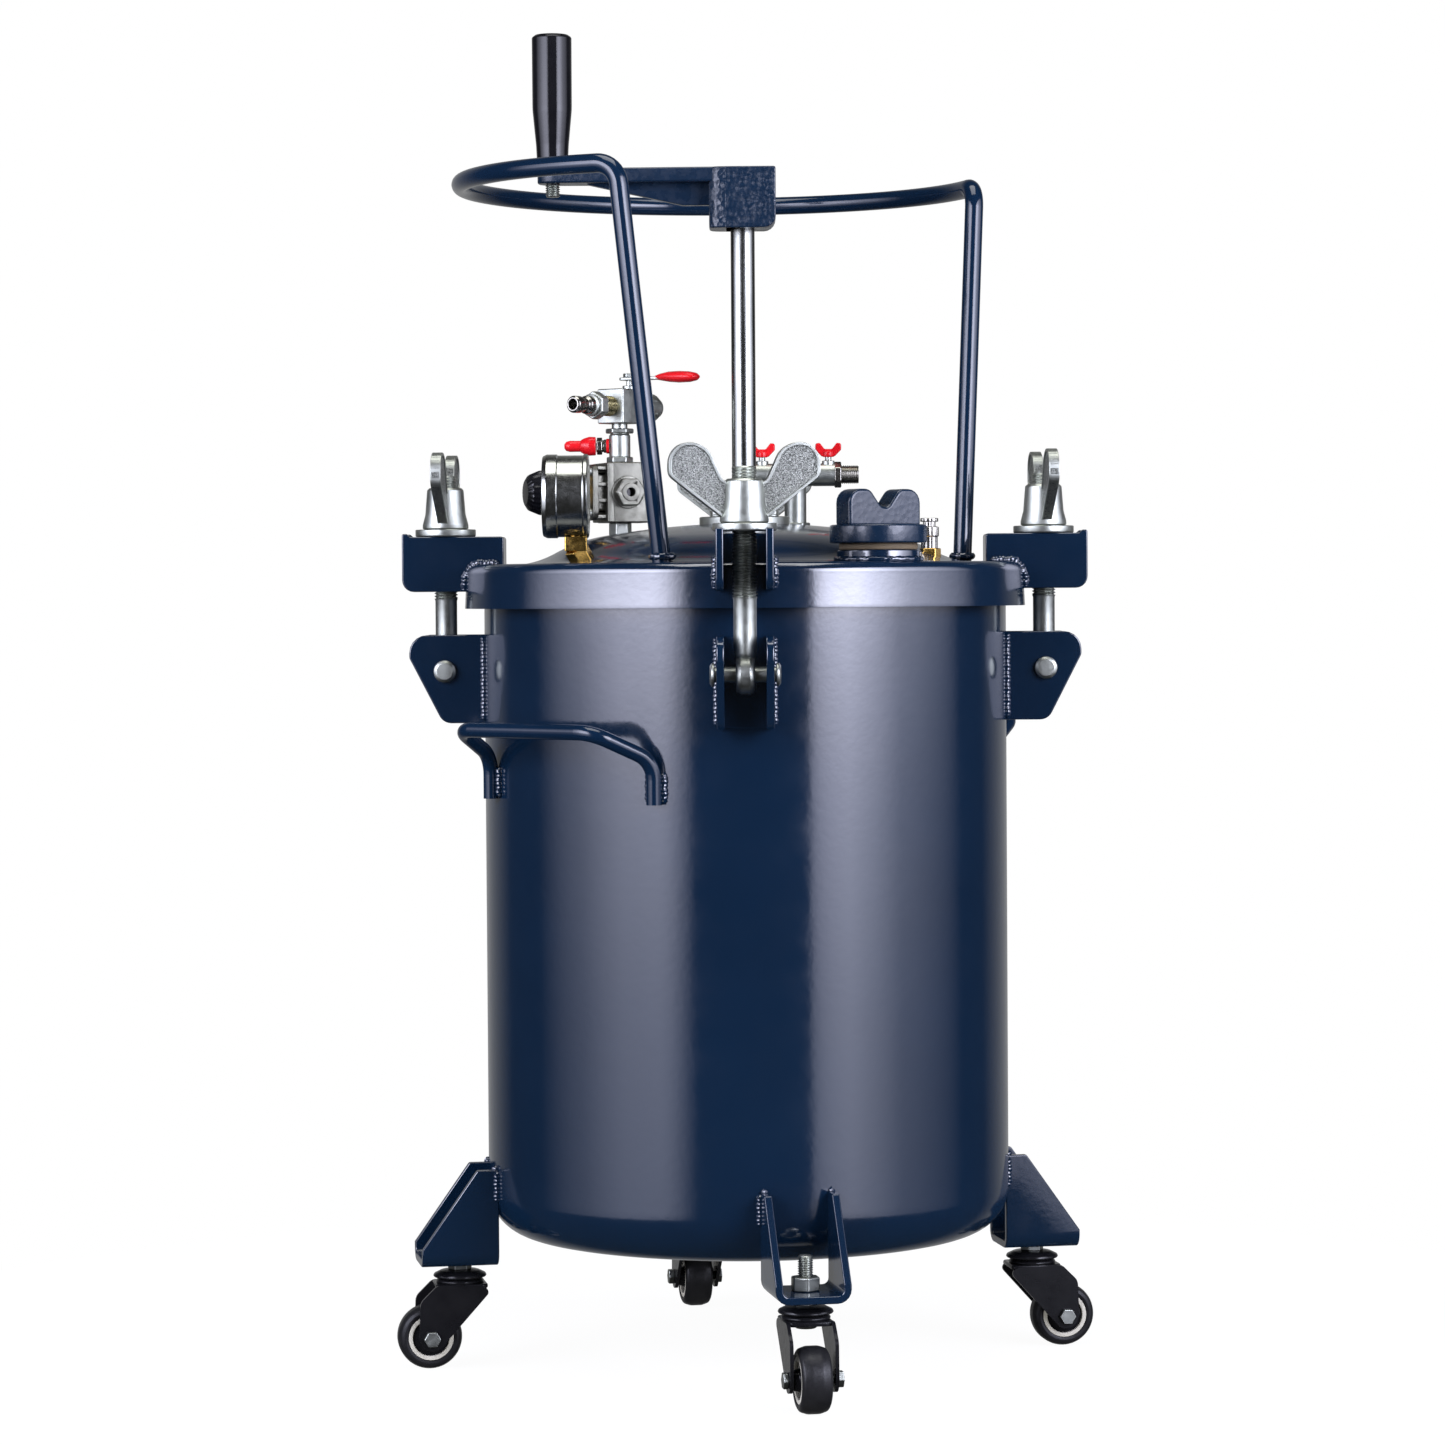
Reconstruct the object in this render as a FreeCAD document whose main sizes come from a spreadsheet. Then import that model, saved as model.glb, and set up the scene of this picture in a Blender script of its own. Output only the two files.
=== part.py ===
import FreeCAD, Part
import math
import os
import re
import Sketcher
from FreeCAD import Placement, Rotation, Vector

# A lidded pressure pot on four swivel casters: a domed lid held by four swing bolts with wing
# nuts, a hand crank that turns the stirrer, an air regulator with its gauge and inlet valve,
# two outlet cocks on a dip tube, a filler cap and a safety valve.
# Millimetres. +Z is up, the floor is Z = 0 and the pot's axis is the Z axis. -Y is the front.
# Cutting tools reach past what they cut by 2 to 9 mm, so their ends never lie on its faces.

doc = FreeCAD.newDocument("pressure_pot")
sheet = doc.addObject("Spreadsheet::Sheet", "Sizes")

SIZES = {
    # pot and lid
    "tank_radius": 176, "tank_wall": 2.5, "tank_bottom": 74.5, "crown_radius": 900,
    "knuckle_radius": 30, "rim_radius": 184.5, "rim_top": 530, "rim_height": 10,
    "gasket_top": 535, "lid_radius": 189, "lid_wall": 3, "lid_flat": 538, "skirt_bottom": 508.5,
    "lid_corner": 7, "dome_top": 565, "dome_radius": 560, "dome_edge": 95, "dome_edge_top": 556.9,
    "shoulder_radius": 105, "shoulder_edge": 128, "shoulder_edge_top": 545.5,
    "dome_foot_radius": 64, "dome_foot": 152,
    # clamps
    "clamp_radius": 202, "pivot_height": 466.5, "pin_radius": 5, "pin_head_radius": 8.25,
    "pin_head": 3.4, "pin_grip": 38.6, "bracket_width": 36.5, "bracket_gap": 26.5,
    "bracket_plate": 5, "lid_bracket_foot": 162, "lid_bracket_end": 230.5,
    "lid_bracket_low": 520, "lid_bracket_top": 557, "lip_start": 225, "lip_crest": 227.5,
    "lip_height": 2.2, "tank_bracket_end": 226, "tank_bracket_top": 491,
    "tank_bracket_low": 431.5, "bolt_radius": 8, "bolt_top": 598, "eye_radius": 12.5,
    "eye_width": 12, "running_gap": 0.05, "washer_radius": 20.5, "washer_bore": 8.5,
    "washer_thick": 5, "nut_base_radius": 15.5, "nut_top_radius": 12.5, "nut_height": 28,
    "wing_thick": 7, "lobe_radius": 17, "lobe_reach": 31.25, "lobe_rise": 36,
    # legs and casters
    "leg_turn": 10.4, "leg_width": 49, "leg_plate": 5, "leg_bend": 9, "leg_top": 134.5,
    "leg_low": 70, "leg_inner": 172, "leg_shelf": 188, "leg_outer": 225.2, "leg_slope_end": 82,
    "stem_circle": 197.5,
    "stem_radius": 5, "stem_top": 97.5, "stem_nut_flats": 17, "stem_nut_height": 9,
    "cup_radius": 18, "cup_bottom": 60.8, "cup_top": 66, "collar_flats": 14,
    "race_radius": 16, "race_bottom": 57.5, "race_top": 60.5, "fork_half_width": 15.8,
    "fork_plate": 2.5, "fork_back": 18, "fork_front": 29.2, "caster_trail": 20.7,
    "wheel_radius": 21.5, "wheel_width": 20, "axle_radius": 3, "core_radius": 15.2,
    # lifting ring and side handles
    "ring_rod": 6.25, "ring_radius": 176, "ring_x": -14.7, "ring_y": 18.1, "ring_height": 795,
    "ring_bend": 14, "ring_from": 104.4, "ring_to": 333.5, "foot_a_x": -53, "foot_a_y": -140,
    "foot_b_x": 148, "foot_b_y": 23, "handle_rod": 5, "handle_foot": 181, "handle_spread": 25,
    "handle_low": 383, "handle_knee": 411, "handle_height": 430, "handle_reach": 205,
    "handle_half_grip": 62, "handle_bend": 12,
    # stirrer and crank
    "shaft_radius": 8.15, "shaft_bottom": 125, "shaft_top": 800, "impeller_hub": 14,
    "impeller_bottom": 128, "impeller_height": 25, "impeller_radius": 60, "blade_thick": 3,
    "gland_radius": 30.5, "gland_top": 569.5, "gland_boss_radius": 19, "gland_boss_top": 590,
    "gland_bolt_circle": 24.5, "crank_bottom": 763, "crank_top": 804, "crank_hub_length": 45,
    "crank_hub_width": 38, "crank_corner": 8, "crank_flange": 10, "crank_reach": 127.8,
    "crank_tip_radius": 12, "crank_rib_thick": 8, "grip_top": 894.5, "screw_radius": 5,
    "screw_bottom": 785.5,
    # fittings on the lid
    "gauge_x": -101.5, "gauge_y": -95, "gauge_z": 582, "gauge_radius": 27.5, "gauge_depth": 30.5,
    "elbow_x": -110.3, "elbow_width": 14.7, "regulator_x": -85, "regulator_y": 40,
    "regulator_turn": 17, "regulator_bottom": 566.5, "regulator_top": 607.5,
    "regulator_axis": 587, "regulator_half": 20, "knob_radius": 15.25, "union_radius": 8.9,
    "union_top": 634, "bleed_height": 619, "valve_height": 646, "valve_turn": -125,
    "valve_half": 11, "valve_tail": 42, "lever_length": 57, "outlet_x": 35.5, "outlet_y": 85,
    "outlet_height": 599.6, "outlet_reach": 44, "outlet_thread": 6.5, "outlet_stem": 23,
    "dip_radius": 6, "dip_bottom": 95, "filler_x": 86.5, "filler_y": -129.8, "neck_radius": 27,
    "neck_bore": 20, "neck_top": 545.3, "filler_hole": 16, "cap_bottom": 549.8,
    "plug_bottom": 543, "cap_radius": 31.5, "cap_top": 561.8, "cap_turn": 33,
    "safety_x": 123, "safety_y": -45,
}
for row, (alias, number) in enumerate(SIZES.items(), 1):
    sheet.set("A%d" % row, alias.replace("_", " "))
    sheet.set("B%d" % row, str(number))
    sheet.setAlias("B%d" % row, alias)
doc.recompute()

FRONT, RIGHT, BACK, LEFT = -90, 0, 90, 180
SIDES = {"front": FRONT, "right": RIGHT, "back": BACK, "left": LEFT}
Z_AXIS = Vector(0, 0, 1)
nodes = {}


# ---- helpers: expressions, outlines and solids ----

def bound(expression):
    """Points each alias in an expression at the sheet."""
    return re.sub(r"[a-z]\w*", lambda word: "Sizes." + word[0] if word[0] in SIZES else word[0],
                  str(expression))


def value(expression):
    """The number an expression of aliases gives now."""
    return float(sheet.evalExpression(bound(expression)))


def bind(thing, **properties):
    """Binds properties to expressions; double underscores stand for dots."""
    for name, expression in properties.items():
        thing.setExpression(name.replace("__", "."), bound(expression))
    return thing


def move(thing, x="0", y="0", z="0", turn=0, rotation=None):
    """Places a thing, turned about Z or by a rotation, at a bound position."""
    thing.Placement = Placement(Vector(), rotation or Rotation(Z_AXIS, value(turn)))
    return bind(thing, Placement__Base__x=x, Placement__Base__y=y, Placement__Base__z=z)


def aim(direction):
    """The rotation that takes +Z to a direction."""
    return Rotation(Z_AXIS, Vector(*direction))


def node(label, thing):
    """Makes a thing a sub-part: its label names its file."""
    thing.Label = label
    nodes[label] = thing
    return thing


def outline(body, plane, points):
    """A closed sketch on one of the body's origin planes. Each point is (across, up), or
    (across, up, radius): a radius bends the stretch to the next point, to the left if positive."""
    sketch = body.newObject("Sketcher::SketchObject", "Outline")
    origin = [item for item in body.Origin.OriginFeatures if item.Role == plane][0]
    sketch.AttachmentSupport = [(origin, "")]
    sketch.MapMode = "FlatFace"
    corners = [Vector(value(point[0]), value(point[1]), 0) for point in points]
    starts = []
    for index, point in enumerate(points):
        first, last = corners[index], corners[(index + 1) % len(points)]
        if len(point) == 2:
            sketch.addGeometry(Part.LineSegment(first, last), False)
            starts.append((1, 2))
            continue
        radius = value(point[2])
        chord = last - first
        across = Vector(-chord.y, chord.x, 0).normalize()
        depth = math.sqrt(max(radius ** 2 - (chord.Length / 2) ** 2, 0))
        centre = (first + last) * 0.5 + across * math.copysign(depth, radius)
        begin, end = (first, last) if radius > 0 else (last, first)
        angles = [math.atan2(spot.y - centre.y, spot.x - centre.x) for spot in (begin, end)]
        circle = Part.Circle(centre, Z_AXIS, abs(radius))
        sketch.addGeometry(Part.ArcOfCircle(circle, angles[0], angles[1]), False)
        starts.append((1, 2) if radius > 0 else (2, 1))
        size = sketch.addConstraint(Sketcher.Constraint("Radius", index, abs(radius)))
        sketch.setExpression("Constraints[%d]" % size, bound("abs(%s)" % point[2]))
    for index, point in enumerate(points):
        following = (index + 1) % len(points)
        sketch.addConstraint(Sketcher.Constraint("Coincident", index, starts[index][1],
                                                 following, starts[following][0]))
        for kind, number, expression in (("DistanceX", corners[index].x, point[0]),
                                         ("DistanceY", corners[index].y, point[1])):
            size = sketch.addConstraint(
                Sketcher.Constraint(kind, -1, 1, index, starts[index][0], number))
            sketch.setExpression("Constraints[%d]" % size, bound(expression))
    return sketch


def turned(points, name="Turned"):
    """A body revolved about its own Z axis from an outline of (radius, height)."""
    body = doc.addObject("PartDesign::Body", name)
    sketch = outline(body, "XZ_Plane", points)
    solid = body.newObject("PartDesign::Revolution", "Revolution")
    solid.Profile = sketch
    solid.ReferenceAxis = (sketch, ["V_Axis"])
    solid.Angle = 360
    sketch.Visibility = False
    return body


def plate(plane, points, low, high, name="Plate"):
    """A body padded from an outline, between two heights along its plane's normal. The normal
    of the XZ plane is -Y."""
    body = doc.addObject("PartDesign::Body", name)
    sketch = outline(body, plane, points)
    bind(sketch, AttachmentOffset__Base__z=low)
    solid = body.newObject("PartDesign::Pad", "Pad")
    solid.Profile = sketch
    bind(solid, Length="(%s) - (%s)" % (high, low))
    return body


def slab(plane, points, width):
    """A plate centred on its plane."""
    return plate(plane, points, "-(%s) / 2" % width, "(%s) / 2" % width)


def box(low, high):
    """A block between two corners."""
    block = doc.addObject("Part::Box", "Block")
    bind(block, Length="(%s) - (%s)" % (high[0], low[0]), Width="(%s) - (%s)" % (high[1], low[1]),
         Height="(%s) - (%s)" % (high[2], low[2]))
    return move(block, *low)


def rod(radius, length, x="0", y="0", z="0", rotation=None):
    """A cylinder from a point, along +Z or a rotation of it."""
    cylinder = doc.addObject("Part::Cylinder", "Rod")
    bind(cylinder, Radius=radius, Height=length)
    return move(cylinder, x, y, z, rotation=rotation)


def hexagon(flats, length, x="0", y="0", z="0", rotation=None):
    """A hexagonal bar with the given width across its flats."""
    bar = doc.addObject("Part::Prism", "Hexagon")
    bar.Polygon = 6
    bind(bar, Circumradius="(%s) / sqrt(3)" % flats, Height=length)
    return move(bar, x, y, z, rotation=rotation)


def cut(base, *tools):
    """The base with the tools taken away one by one."""
    for tool in tools:
        result = doc.addObject("Part::Cut", "Cut")
        result.Base = base
        result.Tool = tool
        base = result
    return base


def fuse(*shapes):
    """One solid from several."""
    result = doc.addObject("Part::MultiFuse", "Fusion")
    result.Shapes = list(shapes)
    result.Refine = True
    return result


def group(*shapes):
    """Separate solids kept in one sub-part."""
    result = doc.addObject("Part::Compound", "Group")
    result.Links = list(shapes)
    return result


def copies(master, turns):
    """Copies of a thing turned about the pot's axis."""
    return [move(group(master), turn=turn) for turn in turns]


def bent_rod(edges, radius):
    """A round rod swept along tangent edges, made by code because no feature sweeps it whole."""
    path = Part.Wire(edges)
    start = edges[0].valueAt(edges[0].FirstParameter)
    tangent = edges[0].tangentAt(edges[0].FirstParameter)
    section = Part.Wire([Part.makeCircle(radius, start, tangent)])
    feature = doc.addObject("Part::Feature", "BentRod")
    feature.Shape = path.makePipeShell([section], True, False)
    return feature


def bend(before, corner, after, reach):
    """The arc that rounds a corner, starting and ending a given reach away from it."""
    inward = (before - corner).normalize()
    outward = (after - corner).normalize()
    half_turn = (math.pi - inward.getAngle(outward)) / 2
    radius = reach / math.tan(half_turn)
    bisector = (inward + outward).normalize()
    middle = corner + bisector * (radius / math.cos(half_turn) - radius)
    return Part.Arc(corner + inward * reach, middle, corner + outward * reach).toShape()


def straight(start, end):
    return Part.LineSegment(start, end).toShape()


# ---- pot, gasket and lid ----

def head_point(inset):
    """Where the dished bottom's crown meets its knuckle, on a skin set in by an amount."""
    across = "(tank_radius - knuckle_radius)"
    rise = "sqrt((crown_radius - knuckle_radius)^2 - %s^2)" % across
    share = "(crown_radius - %s) / (crown_radius - knuckle_radius)" % inset
    return ("%s * %s" % (across, share), "tank_bottom + crown_radius - %s * %s" % (rise, share))


WALL_START = ("tank_bottom + crown_radius"
              " - sqrt((crown_radius - knuckle_radius)^2 - (tank_radius - knuckle_radius)^2)")


def tank_outside():
    """The pot's outer skin, from the middle of its bottom to its rim."""
    return [("0", "tank_bottom", "crown_radius"), head_point("0") + ("knuckle_radius",),
            ("tank_radius", WALL_START)]


def tank():
    inside = [("tank_radius - tank_wall", "rim_top"),
              ("tank_radius - tank_wall", WALL_START, "-(knuckle_radius - tank_wall)"),
              head_point("tank_wall") + ("-(crown_radius - tank_wall)",),
              ("0", "tank_bottom + tank_wall")]
    rim = [("tank_radius", "rim_top - rim_height - 4"), ("rim_radius", "rim_top - rim_height + 4"),
           ("rim_radius", "rim_top")]
    return node("tank_shell", turned(tank_outside() + rim + inside, "TankShell"))


def tank_envelope():
    """The space the pot fills, to trim what is welded to it."""
    return turned(tank_outside() + [("tank_radius", "rim_top"), ("0", "rim_top")], "TankEnvelope")


LID_OUTSIDE = [("lid_radius", "skirt_bottom"), ("lid_radius", "lid_flat - lid_corner", "lid_corner"),
               ("lid_radius - lid_corner", "lid_flat"), ("dome_foot", "lid_flat", "-dome_foot_radius"),
               ("shoulder_edge", "shoulder_edge_top", "shoulder_radius"),
               ("dome_edge", "dome_edge_top", "dome_radius"), ("0", "dome_top")]


def lid_envelope():
    """The space the lid fills, to trim what stands on it."""
    return turned(LID_OUTSIDE + [("0", "skirt_bottom")], "LidEnvelope")


def lid():
    inside = [("0", "dome_top - lid_wall", "-(dome_radius - lid_wall)"),
              ("dome_edge", "dome_edge_top - lid_wall", "-(shoulder_radius - lid_wall)"),
              ("shoulder_edge - 1", "shoulder_edge_top - lid_wall", "dome_foot_radius + lid_wall"),
              ("dome_foot", "lid_flat - lid_wall"),
              ("lid_radius - lid_wall", "lid_flat - lid_wall"),
              ("lid_radius - lid_wall", "skirt_bottom")]
    blank = turned(LID_OUTSIDE + inside, "Lid")
    holes = [("shaft_radius + 1", "0", "0"), ("filler_hole", "filler_x", "filler_y"),
             ("dip_radius", "outlet_x", "outlet_y"), ("4", "regulator_x", "regulator_y"),
             ("3", "safety_x", "safety_y")]
    drills = [rod(radius, "80", x, y, "skirt_bottom") for radius, x, y in holes]
    return node("lid", cut(blank, *drills))


def gasket():
    return node("lid_gasket", turned([
        ("tank_radius - tank_wall", "rim_top"), ("rim_radius", "rim_top"),
        ("rim_radius", "gasket_top"), ("tank_radius - tank_wall", "gasket_top")], "Gasket"))


# ---- swing-bolt clamps ----

def lid_brackets(trim):
    side = slab("XZ_Plane", [
        ("lid_bracket_foot", "lid_flat - 6"), ("lid_radius - 4", "lid_flat - 6"),
        ("lid_radius - 4", "lid_bracket_low"),
        ("lid_bracket_end - 8", "lid_bracket_low", "8"),
        ("lid_bracket_end", "lid_bracket_low + 8"),
        ("lid_bracket_end", "lid_bracket_top + lip_height"),
        ("lip_crest", "lid_bracket_top + lip_height"), ("lip_start", "lid_bracket_top"),
        ("lid_bracket_foot", "lid_bracket_top")], "bracket_width")
    gap = box(("lid_bracket_foot + bracket_plate", "-bracket_gap / 2", "skirt_bottom"),
              ("lid_bracket_end + 9", "bracket_gap / 2", "lid_bracket_top + 9"))
    bracket = cut(side, gap, trim)
    return node("lid_brackets", group(*copies(bracket, SIDES.values())))


def tank_brackets(trim):
    side = slab("XZ_Plane", [
        ("tank_radius - 5", "tank_bracket_low"), ("tank_bracket_end - 27", "tank_bracket_low", "9"),
        ("tank_bracket_end - 18.4", "tank_bracket_low + 7"),
        ("tank_bracket_end", "tank_bracket_top - 16.5"),
        ("tank_bracket_end", "tank_bracket_top - 12", "12"),
        ("tank_bracket_end - 12", "tank_bracket_top"), ("tank_radius - 5", "tank_bracket_top")],
        "bracket_width")
    gap = box(("tank_radius + bracket_plate", "-bracket_gap / 2", "tank_bracket_low - 9"),
              ("tank_bracket_end + 9", "bracket_gap / 2", "tank_bracket_top + 9"))
    hole = rod("pin_radius", "bracket_width + 8", "clamp_radius", "bracket_width / 2 + 4",
               "pivot_height", aim((0, -1, 0)))
    bracket = cut(side, gap, hole, trim)
    return node("tank_brackets", group(*copies(bracket, SIDES.values())))


def pivot_pins():
    pin = turned([("0", "-pin_grip / 2 - pin_head"), ("pin_head_radius", "-pin_grip / 2 - pin_head"),
                  ("pin_head_radius", "-pin_grip / 2"), ("pin_radius", "-pin_grip / 2"),
                  ("pin_radius", "pin_grip / 2"), ("pin_head_radius", "pin_grip / 2"),
                  ("pin_head_radius", "pin_grip / 2 + pin_head"), ("0", "pin_grip / 2 + pin_head")],
                 "PivotPin")
    move(pin, "clamp_radius", "0", "pivot_height", rotation=aim((0, -1, 0)))
    return node("pivot_pins", group(*copies(pin, SIDES.values())))


def swing_bolts():
    eye = rod("eye_radius", "eye_width", "clamp_radius", "eye_width / 2", "pivot_height",
              aim((0, -1, 0)))
    shank = rod("bolt_radius", "bolt_top - pivot_height", "clamp_radius", "0", "pivot_height")
    bore = rod("pin_radius + running_gap", "eye_width + 4", "clamp_radius", "eye_width / 2 + 2",
               "pivot_height", aim((0, -1, 0)))
    bolt = cut(fuse(eye, shank), bore)
    for side, copy in zip(SIDES, copies(bolt, SIDES.values())):
        node("swing_bolt_" + side, copy)


def washers():
    base = "lid_bracket_top + running_gap"
    washer = turned([("washer_bore", base), ("washer_radius", base),
                     ("washer_radius", base + " + washer_thick"),
                     ("washer_bore", base + " + washer_thick")], "Washer")
    move(washer, "clamp_radius")
    for side, copy in zip(SIDES, copies(washer, SIDES.values())):
        node("washer_" + side, copy)


def wing_outline():
    """Half of the wing plate, as (side, height) from the nut's own base; the other half mirrors it."""
    low_across = "lobe_reach + lobe_radius * 0.92"
    low_up = "lobe_rise - lobe_radius * 0.392"
    right = [("nut_base_radius - 1", "4"), (low_across, low_up, "lobe_radius"),
             ("lobe_reach - lobe_radius * 0.82", "lobe_rise - lobe_radius * 0.572"),
             ("nut_top_radius - 1.5", "nut_height - 4")]
    left = [("-(%s)" % point[0],) + point[1:2] for point in reversed(right)]
    left[1] = left[1] + ("lobe_radius",)
    return right + left


def wing_nuts():
    cone = doc.addObject("Part::Cone", "NutCone")
    bind(cone, Radius1="nut_base_radius", Radius2="nut_top_radius", Height="nut_height")
    wings = slab("YZ_Plane", wing_outline(), "wing_thick")
    bore = rod("bolt_radius + running_gap", "nut_height + 4", z="-2")
    nut = cut(fuse(cone, wings), bore)
    rest_turns = {"front": 10, "right": 5, "back": -7, "left": -4}
    for side, angle in SIDES.items():
        copy = move(group(nut), "clamp_radius * cos(%d)" % angle, "clamp_radius * sin(%d)" % angle,
                    "lid_bracket_top + washer_thick + 2 * running_gap",
                    turn=angle + rest_turns[side])
        node("wing_nut_" + side, copy)


# ---- legs and casters ----

LEG_TURNS = {side: angle + value("leg_turn") for side, angle in SIDES.items()}


def leg_brackets(trim):
    """Channels folded from plate, with sloping sides welded to the pot."""
    half, bend_low = "leg_width / 2", "leg_low + leg_bend"
    inner_bend = "-(leg_bend - leg_plate)"
    channel = plate("YZ_Plane", [
        ("-" + half, "leg_top"), ("-" + half, bend_low, "leg_bend"),
        ("leg_bend - " + half, "leg_low"), (half + " - leg_bend", "leg_low", "leg_bend"),
        (half, bend_low), (half, "leg_top"), (half + " - leg_plate", "leg_top"),
        (half + " - leg_plate", bend_low, inner_bend), (half + " - leg_bend", "leg_low + leg_plate"),
        ("leg_bend - " + half, "leg_low + leg_plate", inner_bend),
        ("leg_plate - " + half, bend_low), ("leg_plate - " + half, "leg_top")],
        "leg_inner", "leg_outer")
    slope = slab("XZ_Plane", [
        ("leg_outer", "leg_slope_end"), ("leg_outer + 9", "leg_slope_end"),
        ("leg_outer + 9", "leg_top + 9"), ("leg_shelf", "leg_top + 9"), ("leg_shelf", "leg_top")],
        "leg_width + 9")
    hole = rod("stem_radius", "leg_plate + 4", "stem_circle", "0", "leg_low - 2")
    bracket = cut(channel, slope, hole, trim)
    return node("leg_brackets", group(*copies(bracket, LEG_TURNS.values())))


def caster_stems():
    stem = turned([
        ("0", "race_bottom - 6.5"), ("stem_radius + 3", "race_bottom - 6.5"),
        ("stem_radius + 3", "race_bottom - 3.3"), ("stem_radius", "race_bottom - 3.3"),
        ("stem_radius", "cup_bottom"), ("cup_radius", "cup_bottom"),
        ("cup_radius", "cup_bottom + 1.5"), ("cup_radius - 5", "cup_top"),
        ("stem_radius", "cup_top"), ("stem_radius", "stem_top"), ("0", "stem_top")], "Stem")
    stem = fuse(stem, hexagon("collar_flats", "leg_low - cup_top", z="cup_top"))
    nut = cut(hexagon("stem_nut_flats", "stem_nut_height", z="leg_low + leg_plate"),
              rod("stem_radius", "stem_nut_height + 4", z="leg_low + leg_plate - 2"))
    for label, piece in (("caster_stems", stem), ("caster_stem_nuts", nut)):
        copy = move(group(piece), "stem_circle")
        node(label, group(*copies(copy, LEG_TURNS.values())))


def fork():
    """The fork with its bearing race, about the stem's axis, and its axle bolt."""
    cheeks = slab("XZ_Plane", [
        ("-fork_back", "race_bottom"), ("-fork_back", "race_bottom - 5.5"),
        ("1.7", "30.7"), ("12", "17.9", "9"), ("fork_front", "wheel_radius"),
        ("fork_front", "race_bottom")], "2 * fork_half_width")
    inner = "fork_half_width - fork_plate"
    gap = box(("-fork_back - 9", "-(%s)" % inner, "0"),
              ("fork_front + 9", inner, "race_bottom - fork_plate - 0.5"))
    race = rod("race_radius", "race_top - race_bottom", z="race_bottom")
    bore = rod("stem_radius + running_gap", "20", z="race_bottom - 9")
    axle_hole = rod("axle_radius", "2 * fork_half_width + 4", "caster_trail",
                    "fork_half_width + 2", "wheel_radius", aim((0, -1, 0)))
    frame = cut(fuse(cut(cheeks, gap), race), bore, axle_hole)
    shank = rod("axle_radius", "2 * fork_half_width + 6", "caster_trail", "fork_half_width + 3",
                "wheel_radius", aim((0, -1, 0)))
    head = hexagon("10", "3.5", "caster_trail", "fork_half_width + 3.5", "wheel_radius",
                   aim((0, -1, 0)))
    nut = hexagon("10", "4", "caster_trail", "-fork_half_width", "wheel_radius", aim((0, -1, 0)))
    return group(frame, fuse(shank, head, nut))


def wheel():
    """The moulded tread and the core it is bonded to, about the wheel's own axle."""
    tread = turned([("core_radius", "-wheel_width / 2"), ("wheel_radius - 2", "-wheel_width / 2", "2"),
                    ("wheel_radius", "-wheel_width / 2 + 2"), ("wheel_radius", "wheel_width / 2 - 2", "2"),
                    ("wheel_radius - 2", "wheel_width / 2"), ("core_radius", "wheel_width / 2")])
    bore = "axle_radius + running_gap"
    core = turned([(bore, "-12.8"), ("7", "-12.8"), ("7", "-8"), ("core_radius - 2.7", "-8"),
                   ("core_radius - 2.7", "-wheel_width / 2"), ("core_radius", "-wheel_width / 2"),
                   ("core_radius", "wheel_width / 2"), ("core_radius - 2.7", "wheel_width / 2"),
                   ("core_radius - 2.7", "8"), ("7", "8"), ("7", "12.8"), (bore, "12.8")])
    return move(group(tread, core), "caster_trail", "0", "wheel_radius", rotation=aim((0, -1, 0)))


def casters():
    caster_stems()
    fork_parts = move(group(fork()), "stem_circle")
    wheel_parts = move(group(wheel()), "stem_circle")
    for side, turn in LEG_TURNS.items():
        node("caster_fork_" + side, copies(fork_parts, [turn])[0])
        node("caster_wheel_" + side, copies(wheel_parts, [turn])[0])


# ---- lifting ring and side handles ----

def ring_point(azimuth):
    """A point of the ring and the way it runs there; azimuth 0 faces the front, 90 the right."""
    angle = math.radians(azimuth)
    spot = Vector(value("ring_x") + value("ring_radius") * math.sin(angle),
                  value("ring_y") - value("ring_radius") * math.cos(angle), value("ring_height"))
    return spot, Vector(math.cos(angle), math.sin(angle), 0)


def ring_handle(trim):
    reach = value("ring_bend")
    foot_height = value("lid_flat - 4")
    first, first_way = ring_point(value("ring_from"))
    last, last_way = ring_point(value("ring_to"))
    middle = ring_point(value("(ring_from + ring_to) / 2"))[0]
    near_foot = Vector(value("foot_b_x"), value("foot_b_y"), foot_height)
    far_foot = Vector(value("foot_a_x"), value("foot_a_y"), foot_height)
    near_corner = first - first_way * reach
    far_corner = last + last_way * reach
    near_bend = bend(near_foot, near_corner, first, reach)
    far_bend = bend(last, far_corner, far_foot, reach)
    near_top = near_corner + (near_foot - near_corner).normalize() * reach
    far_top = far_corner + (far_foot - far_corner).normalize() * reach
    hoop = bent_rod([straight(near_foot, near_top), near_bend,
                     Part.Arc(first, middle, last).toShape(), far_bend,
                     straight(far_top, far_foot)], value("ring_rod"))
    return node("ring_handle", cut(hoop, trim))


def side_handles(trim):
    foot = value("handle_foot")
    spread = math.radians(value("handle_spread"))
    low = Vector(foot * math.cos(spread), foot * math.sin(spread), value("handle_low"))
    knee = Vector(low.x, low.y, value("handle_knee"))
    grip = Vector(value("handle_reach"), value("handle_half_grip"), value("handle_height"))
    points = [low, knee, grip]
    points += [Vector(point.x, -point.y, point.z) for point in reversed(points)]
    reach = value("handle_bend")
    edges = []
    start = points[0]
    for before, corner, after in zip(points, points[1:], points[2:]):
        arc = bend(before, corner, after, reach)
        arc_start = corner + (before - corner).normalize() * reach
        edges += [straight(start, arc_start), arc]
        start = corner + (after - corner).normalize() * reach
    edges.append(straight(start, points[-1]))
    handle = cut(bent_rod(edges, value("handle_rod")), trim)
    return node("side_handles", group(*copies(handle, [-134, 46])))


# ---- stirrer, gland and crank ----

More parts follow.
